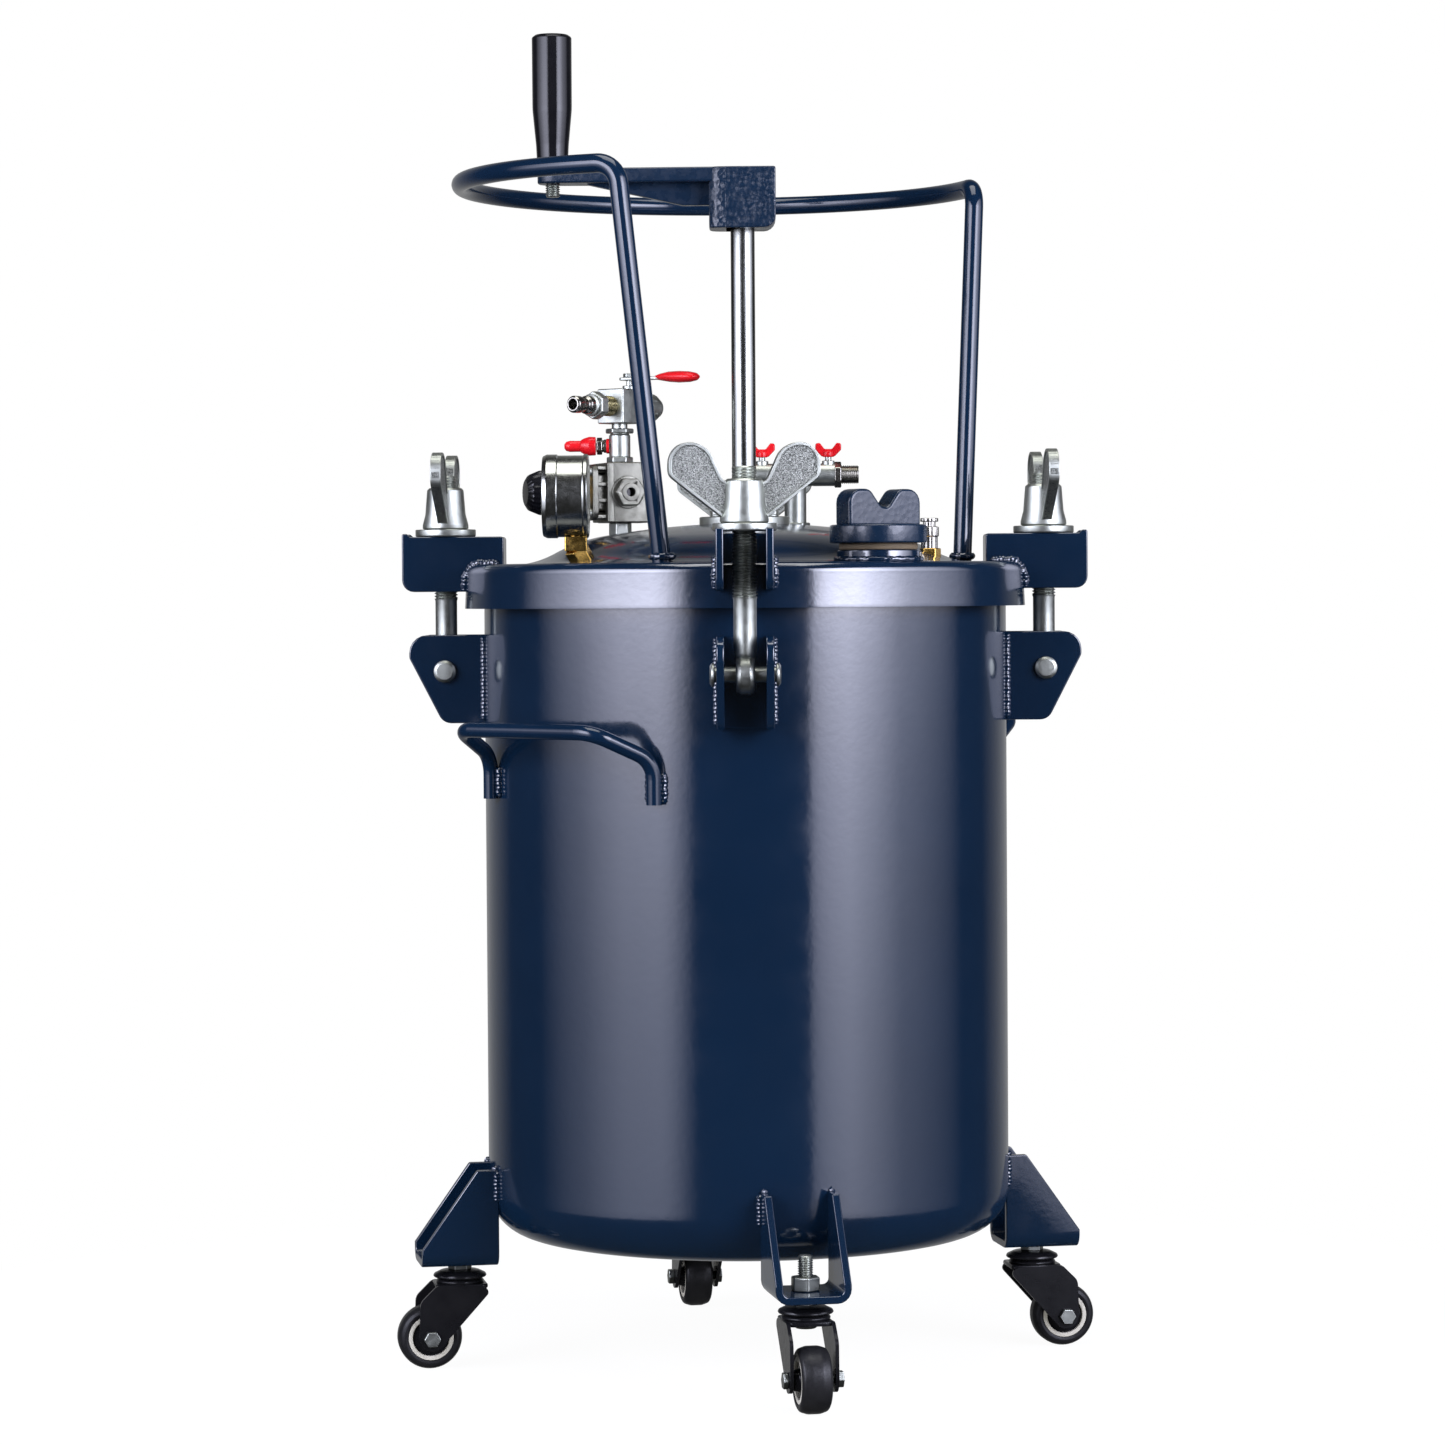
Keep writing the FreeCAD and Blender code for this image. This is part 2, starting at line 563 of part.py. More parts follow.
def stirrer():
    node("agitator_shaft", rod("shaft_radius", "shaft_top - shaft_bottom", z="shaft_bottom"))
    hub = rod("impeller_hub", "impeller_height", z="impeller_bottom")
    blades = []
    for turn in (0, 90, 180, 270):
        blade = box(("0", "-blade_thick / 2", "-impeller_height / 2"),
                    ("impeller_radius", "blade_thick / 2", "impeller_height / 2"))
        pitched = move(group(blade), rotation=Rotation(Vector(1, 0, 0), 45))
        blades.append(move(group(pitched), z="impeller_bottom + impeller_height / 2", turn=turn))
    bore = rod("shaft_radius", "impeller_height * 2", z="impeller_bottom - impeller_height / 2")
    node("impeller", cut(fuse(hub, *blades), bore))


def gland(trim):
    flange = turned([
        ("shaft_radius + running_gap", "dome_top - 3"), ("gland_radius", "dome_top - 3"),
        ("gland_radius", "gland_top"), ("gland_boss_radius", "gland_top"),
        ("gland_boss_radius", "gland_boss_top - 3"), ("gland_boss_radius - 3", "gland_boss_top"),
        ("shaft_radius + running_gap", "gland_boss_top")], "Gland")
    holes = []
    screws = []
    for turn in (45, 135, 225, 315):
        across = "gland_bolt_circle * cos(%d)" % turn
        along = "gland_bolt_circle * sin(%d)" % turn
        holes.append(rod("3", "9", across, along, "gland_top - 4"))
        screws.append(fuse(rod("3", "5", across, along, "gland_top - 4"),
                           hexagon("10", "4", across, along, "gland_top")))
    node("shaft_gland", cut(flange, trim, *holes))
    node("gland_screws", group(*screws))


def crank():
    hub_half = "crank_hub_length / 2"
    hub = slab("XZ_Plane", [
        ("-%s" % hub_half, "crank_top"), ("-%s" % hub_half, "crank_bottom + crank_corner", "crank_corner"),
        ("-%s + crank_corner" % hub_half, "crank_bottom"),
        ("%s - crank_corner" % hub_half, "crank_bottom", "crank_corner"),
        (hub_half, "crank_bottom + crank_corner"), (hub_half, "crank_top")], "crank_hub_width")
    tip = "-(crank_reach + 10.2 - crank_tip_radius)"
    arm = plate("XY_Plane", [("-10", "-17"), ("-10", "17"), (tip, "crank_tip_radius"),
                             (tip, "-crank_tip_radius")], "crank_top - crank_flange", "crank_top")
    arm_end = rod("crank_tip_radius", "crank_flange", tip, "0", "crank_top - crank_flange")
    rib = slab("XZ_Plane", [("-10", "crank_top - crank_flange + 1"),
                            ("-105", "crank_top - crank_flange + 1"),
                            ("-105", "crank_top - crank_flange"), ("-38", "crank_top - 25"),
                            ("-10", "crank_top - 25")], "crank_rib_thick")
    bore = rod("shaft_radius", "shaft_top - crank_bottom + 2", z="crank_bottom - 2")
    screw_hole = rod("screw_radius", "60", "-crank_reach", "0", "crank_top - 40")
    node("crank_arm", cut(fuse(hub, arm, arm_end, rib), bore, screw_hole))
    screw = turned([("0", "screw_bottom"), ("screw_radius", "screw_bottom"),
                    ("screw_radius", "grip_top - 10"), ("8", "grip_top - 10"),
                    ("8", "grip_top - 5"), ("0", "grip_top - 5")], "CrankScrew")
    node("crank_screw", move(screw, "-crank_reach"))
    grip = turned([
        ("screw_radius + running_gap", "crank_top + 0.2"), ("10.5", "crank_top + 0.2"),
        ("11", "crank_top + 4", "-120"), ("13", "crank_top + 40", "90"),
        ("12.2", "crank_top + 66"), ("13.5", "crank_top + 82", "8.7"), ("9", "grip_top"),
        ("8.4", "grip_top"), ("8.4", "grip_top - 10.3"),
        ("screw_radius + running_gap", "grip_top - 10.3")], "CrankGrip")
    node("crank_grip", move(grip, "-crank_reach"))


# ---- gauge ----

def gauge_placed(body):
    """Puts a piece made about Z on the gauge's axis, facing left."""
    return move(body, "gauge_x", "gauge_y", "gauge_z", rotation=aim((-1, 0, 0)))


def gauge(trim):
    inner = "gauge_radius - 2"
    case = turned([("0", "0"), ("gauge_radius - 2", "0"), ("gauge_radius", "2"),
                   ("gauge_radius", "gauge_depth - 1"), ("gauge_radius - 1", "gauge_depth"),
                   ("gauge_radius - 3.5", "gauge_depth"), ("gauge_radius - 3.5", "gauge_depth - 1"),
                   (inner, "gauge_depth - 1"), (inner, "2"), ("0", "2")], "GaugeCase")
    node("gauge_case", gauge_placed(case))
    face = "gauge_depth - 8.5"
    dial = turned([("0", face), (inner, face), (inner, face + " + 1"), ("1", face + " + 1"),
                   ("1", face + " + 3.5"), ("0", face + " + 3.5")], "GaugeDial")
    node("gauge_dial", gauge_placed(dial))
    lens = turned([("0", "gauge_depth - 3"), (inner, "gauge_depth - 3"),
                   (inner, "gauge_depth - 1"), ("0", "gauge_depth - 1")], "GaugeLens")
    node("gauge_lens", gauge_placed(lens))
    blade = plate("XY_Plane", [("-1.6", "-7"), ("1.6", "-7"), ("0.9", "0"), ("0.25", "20"),
                               ("-0.25", "20"), ("-0.9", "0")], face + " + 1.6", face + " + 2.2")
    boss = rod("2.8", "1.4", z=face + " + 1.4")
    spindle = rod("1 + running_gap", "5", z=face)
    needle = move(group(cut(fuse(blade, boss), spindle)), rotation=Rotation(Z_AXIS, 135))
    node("gauge_needle", gauge_placed(group(needle)))
    half = "elbow_width / 2"
    block = box(("elbow_x - " + half, "gauge_y - " + half, "gauge_z - 36"),
                ("elbow_x + " + half, "gauge_y + " + half, "gauge_z - 24"))
    branch = hexagon("elbow_width", "20", "elbow_x", "gauge_y", "gauge_z - 34.5",
                     aim((0.45, 0.35, -0.82)))
    drum = gauge_placed(rod("gauge_radius", "gauge_depth"))
    node("gauge_elbow", cut(fuse(block, branch), drum, trim))


# ---- regulator, inlet valve and quick plug ----

def at_regulator(*pieces, turn=0):
    return move(group(*pieces), "regulator_x", "regulator_y", turn=turn)


def regulator(trim):
    half = "regulator_half"
    block = box(("-14", "-" + half, "regulator_bottom"), (half, half, "regulator_top"))
    left = aim((-1, 0, 0))
    bonnet = rod("19", "10.5", "-13.5", z="regulator_axis", rotation=left)
    housing = rod("12", "16", "-13.5", z="regulator_axis", rotation=left)
    plug_hole = rod("3", "9", "0", "-29", "regulator_axis", aim((0, 1, 0)))
    plug = cut(hexagon("19", "8", "0", "-20", "regulator_axis", aim((0, -1, 0))), plug_hole)
    node("regulator_body", at_regulator(fuse(block, bonnet, housing), plug, turn="regulator_turn"))
    knob = turned([("0", "29.8"), ("13", "29.8"), ("knob_radius", "32"), ("knob_radius", "58", "14"),
                   ("9", "67"), ("0", "67")], "RegulatorKnob")
    move(knob, "0", "0", "regulator_axis", rotation=left)
    node("regulator_knob", at_regulator(knob, turn="regulator_turn"))
    riser = fuse(hexagon("14", "10", z="regulator_bottom - 10"),
                 rod("5", "20", z="regulator_bottom - 20"))
    node("regulator_riser", cut(at_regulator(riser), trim))
    union = fuse(hexagon("17", "4", z="regulator_top"),
                 rod("union_radius", "18", z="regulator_top + 3.5"),
                 hexagon("17", "4", z="regulator_top + 20"),
                 rod("5", "union_top - regulator_top - 20", z="regulator_top + 20"),
                 rod("4", "16", "0", "0", "bleed_height", left),
                 hexagon("10", "4", "-12", "0", "bleed_height", left))
    node("manifold_union", at_regulator(union))
    cap = turned([("0", "16.3"), ("6", "16.3"), ("6.5", "21"), ("4", "26"), ("4", "34", "4"),
                  ("0", "38")], "BleedCap")
    node("bleed_cap", at_regulator(move(cap, "0", "0", "bleed_height", rotation=left)))


def at_valve(*pieces):
    return at_regulator(*pieces, turn="valve_turn")


def inlet_valve():
    ahead, behind = aim((1, 0, 0)), aim((-1, 0, 0))
    block = box(("-valve_half", "-valve_half", "union_top"),
                ("valve_half", "valve_half", "union_top + 24"))
    tail = rod("valve_half - 1", "valve_tail - 4", z="valve_height", rotation=behind)
    end = rod("valve_half - 4", "valve_tail", z="valve_height", rotation=behind)
    stem = rod("4", "18", "-12", z="valve_height")
    node("inlet_valve", at_valve(fuse(block, tail, end, stem)))
    nipple = turned([
        ("3.65", "11"), ("6.75", "11"), ("6.75", "23"), ("7", "23"), ("7", "31"), ("6.25", "31"),
        ("6.25", "39"), ("4.5", "39.8"), ("4.5", "44.4"), ("5.8", "46"), ("5.8", "51.6"),
        ("5", "53"), ("3.65", "53")], "Nipple")
    nut = cut(hexagon("17", "8", z="23"), rod("6.9", "12", z="21"))
    plug = move(group(fuse(nipple, nut)), z="valve_height", rotation=ahead)
    node("inlet_plug", at_valve(plug))
    strap_low = "valve_height + 18.2"
    strap = slab("YZ_Plane", [("-7", strap_low), ("26", strap_low), ("26", strap_low + " + 2"),
                              ("-7", strap_low + " + 2")], "13")
    sleeve = slab("YZ_Plane", [
        ("26", strap_low + " - 2"), ("lever_length - 3", strap_low + " - 2", "3"),
        ("lever_length", strap_low + " + 1"), ("lever_length - 3", strap_low + " + 4"),
        ("26", strap_low + " + 4")], "12")
    node("inlet_lever", at_valve(move(group(strap, sleeve), "-12")))


# ---- outlets and dip tube ----

def outlets(trim):
    def stand(*pieces):
        return move(group(*pieces), "outlet_x", "outlet_y")

    riser = fuse(hexagon("18", "12", z="lid_flat + 17"), rod("8", "46", z="lid_flat + 15"),
                 rod("8", "20", "-10", "0", "outlet_height", aim((1, 0, 0))))
    node("outlet_riser", cut(stand(riser), trim))
    valves = []
    for way in (1, -1):
        along = aim((way, 0, 0))
        start = "%d * 10" % way
        barrel = rod("8", "20", start, "0", "outlet_height", along)
        thread = rod("outlet_thread", "outlet_reach - 10", start, "0", "outlet_height", along)
        nut = hexagon("16", "5", "%d * 27" % way, "0", "outlet_height", along)
        post = rod("2.5", "12", "%d * outlet_stem" % way, "0", "outlet_height")
        mouth = rod("4.5", "14", "%d * (outlet_reach - 12)" % way, "0", "outlet_height", along)
        valves.append(stand(cut(fuse(barrel, thread, nut, post), mouth)))
        handle_low = "outlet_height + 12.3"
        hub = rod("4", "4", "%d * outlet_stem" % way, "0", handle_low)
        blade = box(("%d * outlet_stem - 9" % way, "-2", handle_low + " + 1"),
                    ("%d * outlet_stem + 9" % way, "2", handle_low + " + 10"))
        side = "right" if way > 0 else "left"
        node("outlet_handle_" + side, stand(fuse(hub, blade)))
    node("outlet_valves", group(*valves))
    tube_length = "dome_edge_top - 2 - dip_bottom"
    tube = cut(rod("dip_radius", tube_length, z="dip_bottom"),
               rod("dip_radius - 1.5", tube_length + " + 8", z="dip_bottom - 4"))
    node("dip_tube", stand(tube))


# ---- filler and safety valve ----

def filler(trim):
    neck = turned([("neck_bore", "lid_flat - 8"), ("neck_radius", "lid_flat - 8"),
                   ("neck_radius", "neck_top"), ("neck_bore", "neck_top")], "FillerNeck")
    node("filler_neck", cut(move(neck, "filler_x", "filler_y"), trim))
    seal = turned([("neck_bore", "neck_top + running_gap"), ("25", "neck_top + running_gap"),
                   ("25", "cap_bottom - running_gap"), ("neck_bore", "cap_bottom - running_gap")])
    node("filler_gasket", move(seal, "filler_x", "filler_y"))
    disc = turned([("0", "plug_bottom"), ("neck_bore - running_gap", "plug_bottom"),
                   ("neck_bore - running_gap", "cap_bottom"), ("cap_radius", "cap_bottom"),
                   ("cap_radius", "cap_top - 1"), ("cap_radius - 1", "cap_top"), ("0", "cap_top")])
    top, side, knee = "cap_top + 10.8", "28", "12"
    humps = slab("XZ_Plane", [
        ("-" + side, "cap_top - 1"), (side, "cap_top - 1"), (side, top, knee),
        ("5.6", top + " + 6", "-5.8"), ("-5.6", top + " + 6", knee), ("-" + side, top)], "17")
    cap = fuse(disc, humps)
    node("filler_cap", move(group(cap), "filler_x", "filler_y", turn="cap_turn"))


def safety_valve(trim):
    body = fuse(hexagon("14", "18", z="lid_flat"), rod("5", "24", z="lid_flat"),
                rod("6", "5", z="lid_flat + 24"))
    node("safety_valve", cut(move(group(body), "safety_x", "safety_y"), trim))


def build():
    pot_space = tank_envelope()
    lid_space = lid_envelope()
    tank()
    lid()
    gasket()
    lid_brackets(lid_space)
    tank_brackets(pot_space)
    pivot_pins()
    swing_bolts()
    washers()
    wing_nuts()
    leg_brackets(pot_space)
    casters()
    ring_handle(lid_space)
    side_handles(pot_space)
    stirrer()
    gland(lid_space)
    crank()
    gauge(lid_space)
    regulator(lid_space)
    inlet_valve()
    outlets(lid_space)
    filler(lid_space)
    safety_valve(lid_space)


def check():
    """Stops on any failed feature or bad solid before anything is written."""
    for thing in doc.Objects:
        if "Invalid" in thing.State or "Error" in thing.State:
            raise RuntimeError("%s (%s) failed: %s" % (thing.Name, thing.Label, thing.State))
    for label, thing in nodes.items():
        shape = thing.Shape
        if shape.isNull() or not shape.isValid() or not shape.Solids:
            raise RuntimeError("%s has no valid solid" % label)


def write():
    os.makedirs("parts", exist_ok=True)
    for label, thing in nodes.items():
        solids = thing.Shape.Solids
        shape = solids[0] if len(solids) == 1 else Part.makeCompound(solids)
        shape.exportStep(os.path.join("parts", label + ".step"))


build()
doc.recompute()
check()
write()
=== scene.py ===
import math

import bmesh
import bpy
from mathutils import Matrix, Vector


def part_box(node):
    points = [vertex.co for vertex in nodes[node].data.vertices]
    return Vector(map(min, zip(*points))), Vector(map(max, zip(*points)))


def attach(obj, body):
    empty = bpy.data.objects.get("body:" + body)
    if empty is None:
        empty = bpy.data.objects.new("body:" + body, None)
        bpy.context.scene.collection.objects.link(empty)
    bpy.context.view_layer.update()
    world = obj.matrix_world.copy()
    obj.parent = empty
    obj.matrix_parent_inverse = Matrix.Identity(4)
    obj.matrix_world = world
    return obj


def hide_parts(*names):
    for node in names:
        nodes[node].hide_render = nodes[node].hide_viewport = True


# The looks of a navy pressure pot: finishes for the CAD nodes, and detailed pieces that stand for
# the turned, threaded, cast, folded and moulded ones. The CAD frame is in metres: +Z up, the pot's
# axis on Z, -Y the front. Outlines here are in millimetres.

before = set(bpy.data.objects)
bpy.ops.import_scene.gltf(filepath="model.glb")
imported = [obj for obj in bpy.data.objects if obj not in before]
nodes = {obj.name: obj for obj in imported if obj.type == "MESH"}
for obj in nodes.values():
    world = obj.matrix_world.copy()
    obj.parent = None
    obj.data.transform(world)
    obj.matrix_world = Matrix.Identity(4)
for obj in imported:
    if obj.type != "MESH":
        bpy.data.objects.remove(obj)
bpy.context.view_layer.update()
SIDES = ("front", "right", "back", "left")
LEFT, RIGHT, FRONT = (-1, 0, 0), (1, 0, 0), (0, -1, 0)
MM = 0.001


# ---- materials ----

def feed(tree, node, **sockets):
    """Sets a node's sockets to constants, or links them to other nodes' outputs. In a socket's
    name _ stands for a blank."""
    for name, value in sockets.items():
        socket = node.inputs[name.replace("_", " ")]
        if isinstance(value, bpy.types.NodeSocket):
            tree.links.new(value, socket)
        else:
            socket.default_value = value


def add_node(tree, kind, **sockets):
    node = tree.nodes.new(kind)
    feed(tree, node, **sockets)
    return node


class Finish:
    """A material's node tree, with short ways to add what the finishes share."""

    def __init__(self, name):
        self.material = bpy.data.materials.new(name)
        self.material.use_nodes = True
        self.tree = self.material.node_tree
        self.shader = self.tree.nodes["Principled BSDF"]
        self.place = self.add("ShaderNodeTexCoord").outputs["Object"]
        self.normal = None

    def add(self, kind, **sockets):
        return add_node(self.tree, kind, **sockets)

    def set(self, **sockets):
        feed(self.tree, self.shader, **sockets)
        return self

    def noise(self, scale, detail=3.0, stretch=(1, 1, 1), roughness=0.55):
        mapping = self.add("ShaderNodeMapping", Vector=self.place, Scale=stretch)
        texture = self.add("ShaderNodeTexNoise", Vector=mapping.outputs["Vector"], Scale=scale,
                           Detail=detail, Roughness=roughness)
        return texture.outputs["Fac"]

    def cells(self, scale):
        return self.add("ShaderNodeTexVoronoi", Vector=self.place, Scale=scale).outputs["Distance"]

    def colours(self, value, low, high, start=0.3, end=0.7):
        """The base colour, between two colours by a texture's value."""
        ramp = self.add("ShaderNodeValToRGB", Fac=value)
        stops = zip(ramp.color_ramp.elements, (start, end), (low, high))
        for stop, position, colour in stops:
            stop.position = position
            stop.color = colour + (1,)
        self.set(Base_Color=ramp.outputs["Color"])

    def roughness(self, value, low, high):
        spread = self.add("ShaderNodeMapRange", Value=value, From_Min=0.3, From_Max=0.7, To_Min=low,
                          To_Max=high)
        self.set(Roughness=spread.outputs["Result"])

    def bump(self, value, depth, strength=1.0):
        """Raises the surface by a texture, depth in metres; a second bump adds to the first."""
        bump = self.add("ShaderNodeBump", Height=value, Strength=strength, Distance=depth)
        if self.normal:
            feed(self.tree, bump, Normal=self.normal)
        self.normal = bump.outputs["Normal"]
        self.set(Normal=self.normal)


def navy_paint(name, index):
    """Powder coat with a faint orange peel, the glossier the higher its index of refraction."""
    paint = Finish(name).set(IOR=index)
    paint.colours(paint.noise(9, 4), (0.0022, 0.0098, 0.0245), (0.0031, 0.0122, 0.0295))
    paint.roughness(paint.noise(60, 4), 0.10, 0.16)
    paint.bump(paint.noise(210, 2), 0.0006, 0.07)
    return paint.material


def cast_paint(name, grain):
    """The same paint, duller, over a sand casting."""
    paint = Finish(name).set(IOR=1.5)
    paint.colours(paint.noise(30, 4), (0.0028, 0.0110, 0.0260), (0.0042, 0.0145, 0.0330))
    paint.roughness(paint.noise(150, 3), 0.20, 0.34)
    paint.bump(paint.cells(260), 0.0016, grain)
    paint.bump(paint.noise(900, 2), 0.0004, grain * 0.6)
    return paint.material


def metal(name, low, high, spots, rough, grain, depth):
    """A bare or plated metal: colours between two, in spots, with a fine grain in its surface."""
    skin = Finish(name).set(Metallic=1.0)
    skin.colours(skin.noise(spots, 5), low, high)
    skin.roughness(skin.noise(260, 4), *rough)
    skin.bump(skin.noise(grain, 2), 0.0002, depth)
    return skin.material


def cast_zinc():
    """The sparkling sand-cast faces of the wing nuts."""
    skin = Finish("cast_zinc").set(Metallic=1.0)
    skin.colours(skin.noise(1500, 3, roughness=0.7), (0.05, 0.053, 0.048), (0.44, 0.455, 0.41), 0.40, 0.62)
    skin.roughness(skin.noise(700, 3), 0.40, 0.60)
    skin.bump(skin.noise(1300, 3, roughness=0.7), 0.0008, 1.0)
    return skin.material


def brushed_steel():
    skin = Finish("brushed_steel").set(Metallic=1.0)
    skin.colours(skin.noise(40, 3), (0.175, 0.18, 0.165), (0.225, 0.23, 0.21))
    skin.roughness(skin.noise(400, 3, (1, 1, 0.1)), 0.20, 0.30)
    skin.bump(skin.noise(2600, 2, (1, 1, 0.05)), 0.0001, 0.12)
    return skin.material


def plastic(name, low, high, rough=(0.16, 0.26), grain=0.12):
    skin = Finish(name).set(IOR=1.33)
    skin.colours(skin.noise(40, 3), low, high)
    skin.roughness(skin.noise(220, 3), *rough)
    skin.bump(skin.noise(900, 2), 0.0002, grain)
    return skin.material


def clear_lens():
    lens = Finish("clear_lens").set(IOR=1.49, Transmission_Weight=1.0, Roughness=0.03)
    lens.colours(lens.noise(20, 2), (0.95, 0.97, 0.97), (0.98, 0.99, 0.99))
    return lens.material


MATERIALS = {
    "navy": navy_paint("navy_paint", 1.8),
    "tube_navy": navy_paint("tube_navy", 1.48),
    "hammered": cast_paint("hammered_navy", 0.45),
    "cast_navy": cast_paint("cast_navy", 0.07),
    "zinc": metal("zinc_plate", (0.31, 0.325, 0.29), (0.45, 0.47, 0.42), 70, (0.32, 0.46), 1500, 0.2),
    "yellow_zinc": metal("yellow_zinc", (0.26, 0.22, 0.10), (0.38, 0.34, 0.18), 70, (0.2, 0.34), 1500, 0.2),
    "nickel": metal("nickel", (0.29, 0.28, 0.245), (0.41, 0.395, 0.35), 90, (0.18, 0.30), 1500, 0.15),
    "cast": cast_zinc(),
    "steel": brushed_steel(),
    "chrome": metal("chrome", (0.39, 0.40, 0.365), (0.45, 0.46, 0.42), 25, (0.18, 0.26), 900, 0.02),
    "brass": metal("brass", (0.55, 0.33, 0.07), (0.70, 0.45, 0.12), 90, (0.18, 0.30), 1400, 0.2),
    "die_cast": metal("die_cast", (0.12, 0.119, 0.098), (0.18, 0.179, 0.15), 120, (0.34, 0.5), 1200, 0.4),
    "lens": clear_lens(),
    "black": plastic("black_plastic", (0.004, 0.004, 0.005), (0.008, 0.008, 0.009), (0.06, 0.10)),
    "black_paint": plastic("black_enamel", (0.005, 0.005, 0.006), (0.010, 0.010, 0.011), (0.14, 0.24)),
    "tread": plastic("tread", (0.006, 0.006, 0.007), (0.013, 0.013, 0.014), (0.30, 0.46), 0.3),
    "ivory": plastic("ivory_core", (0.42, 0.40, 0.34), (0.52, 0.50, 0.43), (0.30, 0.42)),
    "red": plastic("red_vinyl", (0.50, 0.006, 0.010), (0.62, 0.011, 0.015), (0.18, 0.28)),
    "dial": plastic("dial_white", (0.78, 0.78, 0.76), (0.84, 0.84, 0.82), (0.35, 0.45)),
    "seal": plastic("seal_fibre", (0.10, 0.075, 0.045), (0.17, 0.13, 0.08), (0.55, 0.7), 0.5),
}


def finish_nodes():
    """Gives every CAD node its finish, also those that a detailed piece stands for."""
    finishes = {
        "navy": ["tank_shell", "lid", "lid_brackets", "tank_brackets", "leg_brackets",
                 "filler_neck"],
        "tube_navy": ["ring_handle", "side_handles"],
        "cast_navy": ["filler_cap"],
        "hammered": ["crank_arm"],
        "zinc": ["pivot_pins", "caster_stem_nuts", "caster_stems", "shaft_gland", "gland_screws",
                 "outlet_valves", "outlet_riser", "inlet_valve", "crank_screw", "manifold_union",
                 "inlet_plug", "regulator_riser"]
        + [part + side for side in SIDES for part in ("swing_bolt_", "washer_")],
        "cast": ["wing_nut_" + side for side in SIDES],
        "steel": ["agitator_shaft", "impeller", "dip_tube"],
        "chrome": ["gauge_case"],
        "brass": ["gauge_elbow", "safety_valve"],
        "die_cast": ["regulator_body"],
        "lens": ["gauge_lens"],
        "black": ["crank_grip", "regulator_knob", "gauge_needle"],
        "black_paint": ["caster_fork_" + side for side in SIDES],
        "tread": ["caster_wheel_" + side for side in SIDES],
        "red": ["bleed_cap", "inlet_lever", "outlet_handle_left", "outlet_handle_right"],
        "dial": ["gauge_dial"],
        "seal": ["lid_gasket", "filler_gasket"],
    }
    for finish, names in finishes.items():
        for name in names:
            slots = nodes[name].data.materials
            slots.clear()
            slots.append(MATERIALS[finish])


# ---- mesh helpers ----

def into_scene(name, data):
    """A new object in the scene, from a mesh, a text, a lamp or a camera."""
    thing = bpy.data.objects.new(name, data)
    bpy.context.scene.collection.objects.link(thing)
    return thing


def select(pieces):
    """Selects these pieces and no others, the first one active."""
    for piece in bpy.context.selected_objects:
        piece.select_set(False)
    for piece in pieces:
        piece.select_set(True)
    bpy.context.view_layer.objects.active = pieces[0]


def full_turn(steps):
    """Evenly spaced angles round a full turn."""
    return [2 * math.pi * step / steps for step in range(steps)]


def middle(node):
    low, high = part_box(node)
    return (low + high) / 2


def span(node, axis):
    """A CAD node's lowest and highest coordinate along an axis, in millimetres."""
    low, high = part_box(node)
    return low[axis] / MM, high[axis] / MM


def add_piece(name, vertices, faces, finish, smooth=35):
    """A mesh object, smooth except across edges sharper than an angle in degrees."""
    mesh = bpy.data.meshes.new(name)
    mesh.from_pydata([tuple(vertex) for vertex in vertices], [], faces)
    mesh.materials.append(MATERIALS[finish])
    cleaned = bmesh.new()
    cleaned.from_mesh(mesh)
    bmesh.ops.remove_doubles(cleaned, verts=cleaned.verts, dist=1e-7)
    bmesh.ops.dissolve_degenerate(cleaned, edges=cleaned.edges, dist=1e-7)
    bmesh.ops.recalc_face_normals(cleaned, faces=cleaned.faces)
    if cleaned.calc_volume(signed=True) < 0:
        bmesh.ops.reverse_faces(cleaned, faces=cleaned.faces)
    cleaned.to_mesh(mesh)
    cleaned.free()
    mesh.shade_smooth()
    mesh.set_sharp_from_angle(angle=math.radians(smooth))
    return into_scene(name, mesh)


def place(piece, matrix):
    """Moves a piece's mesh, so that its object stays at the origin."""
    piece.data.transform(matrix)
    return piece


def at(x=0.0, y=0.0, z=0.0, direction=(0, 0, 1), turn=0.0):
    """The transform that takes the origin to a point in millimetres and +Z to a direction."""
    aim = Vector((0, 0, 1)).rotation_difference(Vector(direction)).to_matrix().to_4x4()
    return Matrix.Translation(Vector((x, y, z)) * MM) @ aim @ Matrix.Rotation(math.radians(turn), 4, "Z")


# Takes an outline's plane from XY to XZ: it then stands up, and its depth runs towards -Y.
UPRIGHT = Matrix.Rotation(math.pi / 2, 4, "X")


def placed(pieces, matrix):
    return [place(piece, matrix) for piece in pieces]


def fasten(name, pieces, body="tank"):
    """Joins pieces, with all their materials, into one that rides on a body."""
    select(pieces)
    if len(pieces) > 1:
        bpy.ops.object.join()
    pieces[0].name = name
    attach(pieces[0], body)
    return pieces[0]


def settle(node, pieces, body="tank"):
    """Joins pieces into the one that stands for a CAD node."""
    piece = fasten(node + "_visual", pieces, body)
    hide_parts(node)


def apply(piece, modifier):
    bpy.context.view_layer.objects.active = piece
    bpy.ops.object.modifier_apply(modifier=modifier.name)
    return piece


def bevel(piece, width, segments=2):
    """Rounds a piece's sharp edges by a width in millimetres."""
    modifier = piece.modifiers.new("Bevel", "BEVEL")
    modifier.width = width * MM
    modifier.segments = segments
    modifier.limit_method = "ANGLE"
    modifier.angle_limit = math.radians(40)
    modifier.harden_normals = True
    return apply(piece, modifier)


